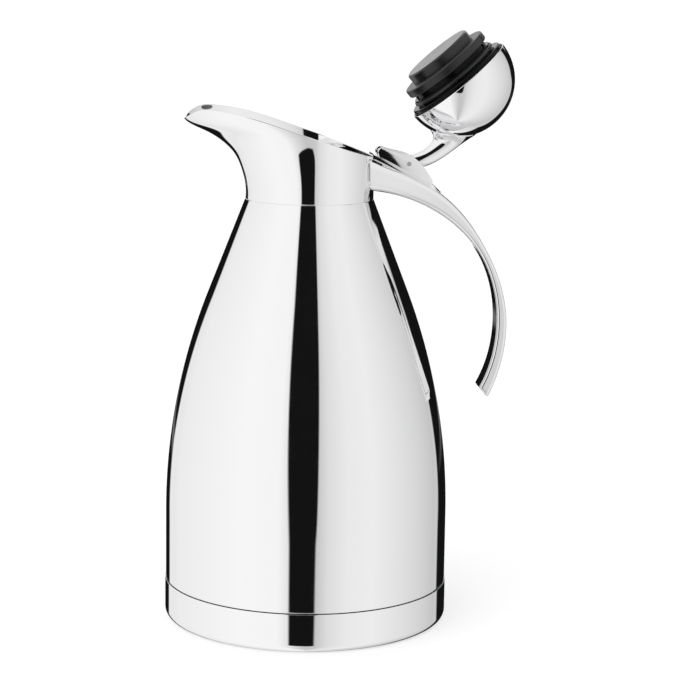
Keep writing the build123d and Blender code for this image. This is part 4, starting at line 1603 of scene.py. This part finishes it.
@dataclass
class Lid:
    """Ball lid with its arm and stopper, open over the handle."""

    pin_x: float = PIN_X
    pin_z: float = PIN_Z
    dome_offset_x: float = 25.3
    dome_offset_z: float = 43.3
    plug_tilt: float = 40.3
    dome_radius: float = 29.6
    dome_wall: float = 0.7
    dome_edge: float = 0.3
    eye_radius: float = 4.2
    eye_half_width: float = 4.0
    eye_hole: float = 1.3
    eye_round: float = 0.4
    arm_line: tuple[Point, ...] = ((1.2, 0.8), (9.4, 2.9), (16.9, 8.5))
    arm_end: Point = (-1.9, -24.2)
    arm_stations: tuple[tuple[float, float, float], ...] = (
        (0.0, 7.4, 7.4), (0.33, 8.0, 8.8), (0.66, 8.4, 12.2), (1.0, 18.0, 23.0),
    )
    arm_fillet: float = 4.5     # weld on the ball
    arm_rows: int = 90
    plug_radius: float = 24.3
    flange_radius: float = 28.3
    flange_low: float = -1.4
    flange_high: float = 2.2
    flange_round: float = 1.0
    ring_low: float = 2.8
    ring_high: float = 4.8
    ring_depth: float = 1.6
    ring_proud: float = 0.8
    waist_low: float = 5.6
    waist_radius: float = 22.6
    lip_low: float = 8.2
    lip_high: float = 12.6
    lip_proud: float = 0.5
    lip_round: float = 0.8
    core_radius: float = 16.5
    boss_radius: float = 6.0
    boss_depth: float = 9.0
    bore: float = 2.1
    screw_well: float = 4.3
    screw_floor: float = 4.0
    cap_radius: float = 19.0
    cap_height: float = 5.6
    cap_wall: float = 1.8
    cap_bevel: float = 0.8
    skirt_radius: float = 13.5
    skirt_wall: float = 1.2
    skirt_length: float = 3.0
    clearance: float = 0.05
    screw: ScrewKind = ScrewKind(2.8, 2.8, 1.5, 0.0, 1.5, 5.0, 1.2, 0.9)
    screw_lean: float = 262.0
    screw_spread: float = 17.0
    screw_lift: float = 0.2

    def __post_init__(self) -> None:
        """Work out the plug's axis and the middle of the ball."""
        tilt = math.radians(self.plug_tilt)
        self.middle = (self.pin_x + self.dome_offset_x, 0.0, self.pin_z + self.dome_offset_z)
        self.spindle = Spindle(self.middle, (-math.sin(tilt), 0.0, math.cos(tilt)))

    def build_ball(self, lathe: Lathe, screws: ScrewBox) -> None:
        """Build the ball and dress what is inside it.

        Args:
            lathe: Nodes that turn the ball.
            screws: Nodes that set the arm's screws.
        """
        outer = arc((0, 0), self.dome_radius, -90, 0, step=0.9)
        outer[0] = (0.0, -self.dome_radius)
        ball = walled(outer, self.dome_wall, self.dome_edge)
        fit(lathe.turn("lid_ball_steel", ball, MIRROR, self.spindle), Body.LID, MIRROR, "lid_dome")
        dress("dome_stud", TURNED)
        dress("dome_insulation", FOAM)
        dress("centre_screw", TURNED)

        leans = [math.radians(self.screw_lean + side * self.screw_spread / 2) for side in (-1, 1)]
        reach = self.dome_radius - self.dome_wall - self.screw_lift
        fit(screws.drive_outwards("arm_socket_screws", self.screw, self.middle, reach,
                                  [(math.cos(a), 0, math.sin(a)) for a in leans], TURNED),
            Body.LID, TURNED, "arm_screws")

    def build_arm(self, lathe: Lathe) -> None:
        """Build the arm from its eye on the pin to its flare on the ball.

        Args:
            lathe: Nodes that turn the eye.
        """
        line = [(self.pin_x + x, self.pin_z + z) for x, z in self.arm_line]
        line.append((self.middle[0] + self.arm_end[0], self.middle[2] + self.arm_end[1]))
        bar = SweptBar(line, self.arm_stations)

        def off_ball(points: np.ndarray) -> np.ndarray:
            """Distance outside the ball."""
            return np.linalg.norm(points - np.array(self.middle), axis=-1) - self.dome_radius

        skin = bar.skin(*bar.oval(), self.arm_rows, off_ball, fillet=self.arm_fillet)
        gooseneck = piece_of(skin.mesh("gooseneck"), "gooseneck", CAST, crease=60.0)
        half, edge = self.eye_half_width, self.eye_round
        ring = rounded([(self.eye_hole, -half, edge), (self.eye_radius, -half, edge),
                        (self.eye_radius, half, edge), (self.eye_hole, half, edge)], closed=True)
        pin = Spindle((self.pin_x, 0, self.pin_z), (0, 1, 0))
        eye = lathe.turn("eye", ring, CAST, pin, segments=96)
        fit(joined("lid_arm_steel", CAST, gooseneck, eye), Body.LID, CAST, "lid_arm")

    def build_stopper(self, lathe: Lathe) -> None:
        """Build the plug, its two gaskets and the cap over its screw.

        Args:
            lathe: Nodes that turn the pieces.
        """
        soft, sharp = 0.3, 0.1
        groove = self.plug_radius + self.ring_proud - self.ring_depth
        skirt_inner = self.skirt_radius - self.skirt_wall
        skirt_floor = self.lip_high - self.skirt_length - self.clearance
        plug = rounded([
            (self.bore, -self.boss_depth), (self.boss_radius, -self.boss_depth, soft),
            (self.boss_radius, self.flange_low), (self.flange_radius, self.flange_low, self.flange_round),
            (self.flange_radius, self.flange_high, self.flange_round),
            (self.plug_radius, self.flange_high), (self.plug_radius, self.ring_low, sharp),
            (groove, self.ring_low), (groove, self.ring_high), (self.plug_radius, self.ring_high, sharp),
            (self.plug_radius, self.waist_low, soft), (self.waist_radius, self.waist_low),
            (self.waist_radius, self.lip_low, 2 * sharp), (self.core_radius, self.lip_low),
            (self.core_radius, self.lip_high), (self.skirt_radius + self.clearance, self.lip_high),
            (self.skirt_radius + self.clearance, skirt_floor), (skirt_inner - self.clearance, skirt_floor),
            (skirt_inner - self.clearance, self.lip_high), (self.screw_well, self.lip_high, soft),
            (self.screw_well, self.screw_floor), (self.bore, self.screw_floor),
        ], closed=True)

        inner, outer = groove + self.clearance, self.plug_radius + self.ring_proud
        low, high = self.ring_low + self.clearance, self.ring_high - self.clearance
        ring_round = (self.ring_high - self.ring_low) / 3
        ring = rounded([(inner, low), (outer, low, ring_round), (outer, high, ring_round), (inner, high)],
                       closed=True)

        inner, outer = self.core_radius + self.clearance, self.plug_radius + self.lip_proud
        lip = rounded([(inner, self.lip_low), (outer, self.lip_low, self.lip_round),
                       (outer, self.lip_high, self.lip_round), (inner, self.lip_high)], closed=True)

        top, hollow = self.lip_high + self.cap_height, skirt_inner - self.cap_wall
        cap = rounded([
            (0, top - self.cap_wall), (hollow, top - self.cap_wall, soft), (hollow, self.lip_high),
            (skirt_inner, self.lip_high), (skirt_inner, self.lip_high - self.skirt_length),
            (self.skirt_radius, self.lip_high - self.skirt_length, soft), (self.skirt_radius, self.lip_high),
            (self.cap_radius, self.lip_high, soft), (self.cap_radius, top - self.cap_bevel, soft),
            (self.cap_radius - self.cap_bevel, top, soft), (0, top),
        ])
        for name, outline, finish, node in (
            ("stopper_plastic", plug, BLACK, "stopper_body"),
            ("ring_gasket_rubber", ring, RUBBER, "ring_gasket"),
            ("lip_gasket_rubber", lip, RUBBER, "lip_gasket"),
            ("stopper_cap_plastic", cap, GREY, "stopper_cap"),
        ):
            fit(lathe.turn(name, outline, finish, self.spindle), Body.LID, finish, node)

    def build(self, lathe: Lathe, screws: ScrewBox) -> None:
        """Build ball, arm and stopper.

        Args:
            lathe: Nodes that turn the pieces.
            screws: Nodes that set the arm's screws.
        """
        self.build_ball(lathe, screws)
        self.build_arm(lathe)
        self.build_stopper(lathe)


# Studio and camera


@dataclass
class PhotoCamera:
    """Camera at the photograph's place, height and lens."""

    place: tuple[float, float, float] = (-86.05, -1134.78, 347.63)
    heading: float = 5.19       # degrees from +Y towards +X
    pitch: float = 9.94
    roll: float = 0.82
    lens: float = 115.88
    sensor: float = 36.0

    def build(self) -> None:
        """Create the camera and make it the scene's."""
        turn, down, roll = (math.radians(a) for a in (self.heading, self.pitch, self.roll))
        ahead = Vector((math.sin(turn) * math.cos(down), math.cos(turn) * math.cos(down), -math.sin(down)))
        level = Vector((math.cos(turn), -math.sin(turn), 0))
        upright = level.cross(ahead)
        right = level * math.cos(roll) + upright * math.sin(roll)
        up = upright * math.cos(roll) - level * math.sin(roll)
        lens = bpy.data.cameras.new("photo_camera")
        lens.lens, lens.sensor_width, lens.sensor_fit = self.lens, self.sensor, "HORIZONTAL"
        camera = linked("photo_camera", lens)
        placed = Matrix((right, up, -ahead)).transposed().to_4x4()
        placed.translation = Vector(self.place) * MM
        camera.matrix_world = placed
        bpy.context.scene.camera = camera


@dataclass(frozen=True)
class Flag:
    """Black flag far from the object that polished steel reflects.

    Its corners are directions from the object, anticlockwise: degrees to the right of the camera's
    direction, and degrees over the horizon.
    """

    corners: tuple[Point, ...]
    soft: float = 1.2

    def mask(self, tree: bpy.types.NodeTree, turn: bpy.types.NodeSocket,
             lift: bpy.types.NodeSocket) -> bpy.types.NodeSocket:
        """Tell how far a direction is inside the flag.

        Args:
            tree: The world's tree.
            turn: Degrees to the right of the camera's direction.
            lift: Degrees over the horizon.

        Returns:
            One inside the flag and zero outside it, with soft edges.
        """
        mask: bpy.types.NodeSocket | float = 1.0
        for (x, y), (next_x, next_y) in zip(self.corners, self.corners[1:] + self.corners[:1]):
            across, up = next_x - x, next_y - y
            length = math.hypot(across, up)
            part = add(tree, "ShaderNodeMath",
                       {0: turn, 1: -up / length, 2: (up * x - across * y) / length},
                       operation="MULTIPLY_ADD")
            inside = add(tree, "ShaderNodeMath", {0: lift, 1: across / length, 2: part.outputs[0]},
                         operation="MULTIPLY_ADD")
            edge = add(tree, "ShaderNodeMapRange",
                       {"Value": inside.outputs[0], "From Min": -self.soft, "From Max": self.soft},
                       interpolation_type="SMOOTHSTEP")
            mask = add(tree, "ShaderNodeMath", {0: mask, 1: edge.outputs["Result"]},
                       operation="MULTIPLY").outputs[0]
        return mask


@dataclass
class Studio:
    """White room with black flags, and a pale floor that keeps the object's shadow."""

    camera_azimuth: float = -94.34
    # Brightness of the room by degrees to the right of the camera's direction.
    walls: tuple[Point, ...] = (
        (-180, 0.95), (-138, 0.87), (-126, 0.92), (-102, 0.95), (-54, 1.02), (-22, 1.0), (0, 0.6),
        (9, 0.62), (18, 0.79), (34, 0.9), (56, 0.93), (78, 0.85), (110, 0.71), (130, 0.6), (180, 0.95),
    )
    black: float = 0.007
    room_level: float = 0.92
    floor_size: float = 60.0
    floor_colour: str = "#E6E6E6"
    floor_lift: float = 0.3
    lamp_power: float = 6.0
    lamp_size: float = 1.2
    lamp_place: tuple[float, float, float] = (-0.9, -0.9, 1.5)      # in metres, as are lamp and floor
    flags: tuple[Flag, ...] = (
        Flag(((-15.9, -12), (-14, -18), (-8, -22), (1, -24), (6.5, -22), (9.3, -12), (10.6, 2), (11.5, 20),
              (14, 62), (-22, 62), (-17.5, 22), (-16.2, 2))),
        Flag(((131, 55), (131, 2), (137, -5), (149, -5), (152, 55))),
        Flag(((135, -2), (138.5, -11), (168, -9), (176, -4), (172, 7), (155, 14), (138, 10))),
        Flag(((138, -9), (138, -30), (146, -50), (186, -48), (186, -20), (168, -9)), 2.0),
        Flag(((-184, -9.5), (-149.5, -9.5), (-133, 18), (-140, 20), (-158, 9), (-166, 3), (-184, -6))),
        Flag(((-186, -42), (-160, -38), (-150, -24), (-149.5, -9), (-186, -9)), 2.0),
    )

    def world(self) -> None:
        """Light the room: white to the camera, white with black flags in reflections."""
        world = bpy.data.worlds.new("studio")
        bpy.context.scene.world = world
        tree = cleared(world)
        ray = add(tree, "ShaderNodeLightPath").outputs
        heading = add(tree, "ShaderNodeTexCoord").outputs["Generated"]
        xyz = add(tree, "ShaderNodeSeparateXYZ", {"Vector": heading}).outputs
        azimuth = add(tree, "ShaderNodeMath", {0: xyz["Y"], 1: xyz["X"]}, operation="ARCTAN2")
        azimuth = add(tree, "ShaderNodeMath", {0: azimuth.outputs[0]}, operation="DEGREES")
        offset = add(tree, "ShaderNodeMath", {0: azimuth.outputs[0], 1: self.camera_azimuth},
                     operation="SUBTRACT")
        turn = add(tree, "ShaderNodeMath", {0: offset.outputs[0], 1: 180.0, 2: -180.0},
                   operation="WRAP").outputs[0]
        lift = add(tree, "ShaderNodeMath", {0: xyz["Z"]}, operation="ARCSINE")
        lift = add(tree, "ShaderNodeMath", {0: lift.outputs[0]}, operation="DEGREES").outputs[0]
        round_about = add(tree, "ShaderNodeMapRange",
                          {"Value": turn, "From Min": -180.0, "From Max": 180.0}).outputs["Result"]
        ramp = add(tree, "ShaderNodeValToRGB", {"Fac": round_about})
        stops = ramp.color_ramp.elements
        stops.remove(stops[1])
        for i, (degrees, level) in enumerate(self.walls):
            stop = stops[0] if i == 0 else stops.new(degrees / 360 + 0.5)
            stop.position, stop.color = degrees / 360 + 0.5, (level, level, level, 1)
        level = ramp.outputs["Color"]
        for flag in self.flags:
            level = add(tree, "ShaderNodeMix", {
                "Factor": flag.mask(tree, turn, lift), "A": level, "B": self.black,
            }).outputs["Result"]
        seen = add(tree, "ShaderNodeMath", {0: ray["Is Camera Ray"], 1: ray["Is Transmission Ray"]},
                   operation="MAXIMUM")
        mirrored = add(tree, "ShaderNodeMix",
                       {"Factor": ray["Is Glossy Ray"], "A": self.room_level, "B": level})
        final = add(tree, "ShaderNodeMix",
                    {"Factor": seen.outputs[0], "A": mirrored.outputs["Result"], "B": 1.0})
        back = add(tree, "ShaderNodeBackground", {"Color": (1, 1, 1, 1), "Strength": final.outputs["Result"]})
        add(tree, "ShaderNodeOutputWorld", {"Surface": back.outputs[0]})

    def floor(self) -> None:
        """Lay the pale floor, which the camera sees as white outside the shadow."""
        material = bpy.data.materials.new("painted_floor")
        tree = cleared(material)
        ray = add(tree, "ShaderNodeLightPath").outputs
        paint = add(tree, "ShaderNodeBsdfDiffuse", {"Color": linear(self.floor_colour)})
        lift = add(tree, "ShaderNodeMath", {0: ray["Is Camera Ray"], 1: self.floor_lift},
                   operation="MULTIPLY")
        glow = add(tree, "ShaderNodeEmission", {"Strength": lift.outputs[0]})
        both = add(tree, "ShaderNodeAddShader", {0: paint.outputs[0], 1: glow.outputs[0]})
        add(tree, "ShaderNodeOutputMaterial", {"Surface": both.outputs[0]})
        half = self.floor_size / 2
        mesh = bpy.data.meshes.new("floor")
        mesh.from_pydata([(-half, -half, 0), (half, -half, 0), (half, half, 0), (-half, half, 0)], [],
                         [(0, 1, 2, 3)])
        mesh.materials.append(material)
        floor = linked("floor", mesh)
        floor.visible_glossy = False

    def lamp(self) -> None:
        """Hang one large soft lamp to the upper left, which the steel doesn't reflect."""
        light = bpy.data.lights.new("soft_lamp", "AREA")
        light.energy, light.size = self.lamp_power, self.lamp_size
        lamp = linked("soft_lamp", light)
        place = Vector(self.lamp_place)
        lamp.matrix_world = Matrix.Translation(place) @ place.to_track_quat("Z", "Y").to_matrix().to_4x4()
        lamp.visible_glossy = False

    def build(self) -> None:
        """Set up room, floor, lamp and the colours' plain view."""
        self.world()
        self.floor()
        self.lamp()
        bpy.context.scene.view_settings.view_transform = "Standard"


def corners(box: tuple[Vector, Vector]) -> list[list[float]]:
    """Turn a box to plain lists of numbers."""
    return [list(corner) for corner in box]


def main() -> None:
    """Build the carafe round its frame."""
    logging.basicConfig(level=logging.INFO, format="%(name)s: %(message)s")
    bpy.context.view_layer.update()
    Studio().build()
    PhotoCamera().build()
    lathe, screws, seat = Lathe(), ScrewBox(), Seat()
    Bottle().build(lathe)
    SpoutCollar().build()
    Handle().build(seat, screws)
    Hinge().build(seat, lathe, screws)
    Lid().build(lathe, screws)


if __name__ == "__main__":
    main()
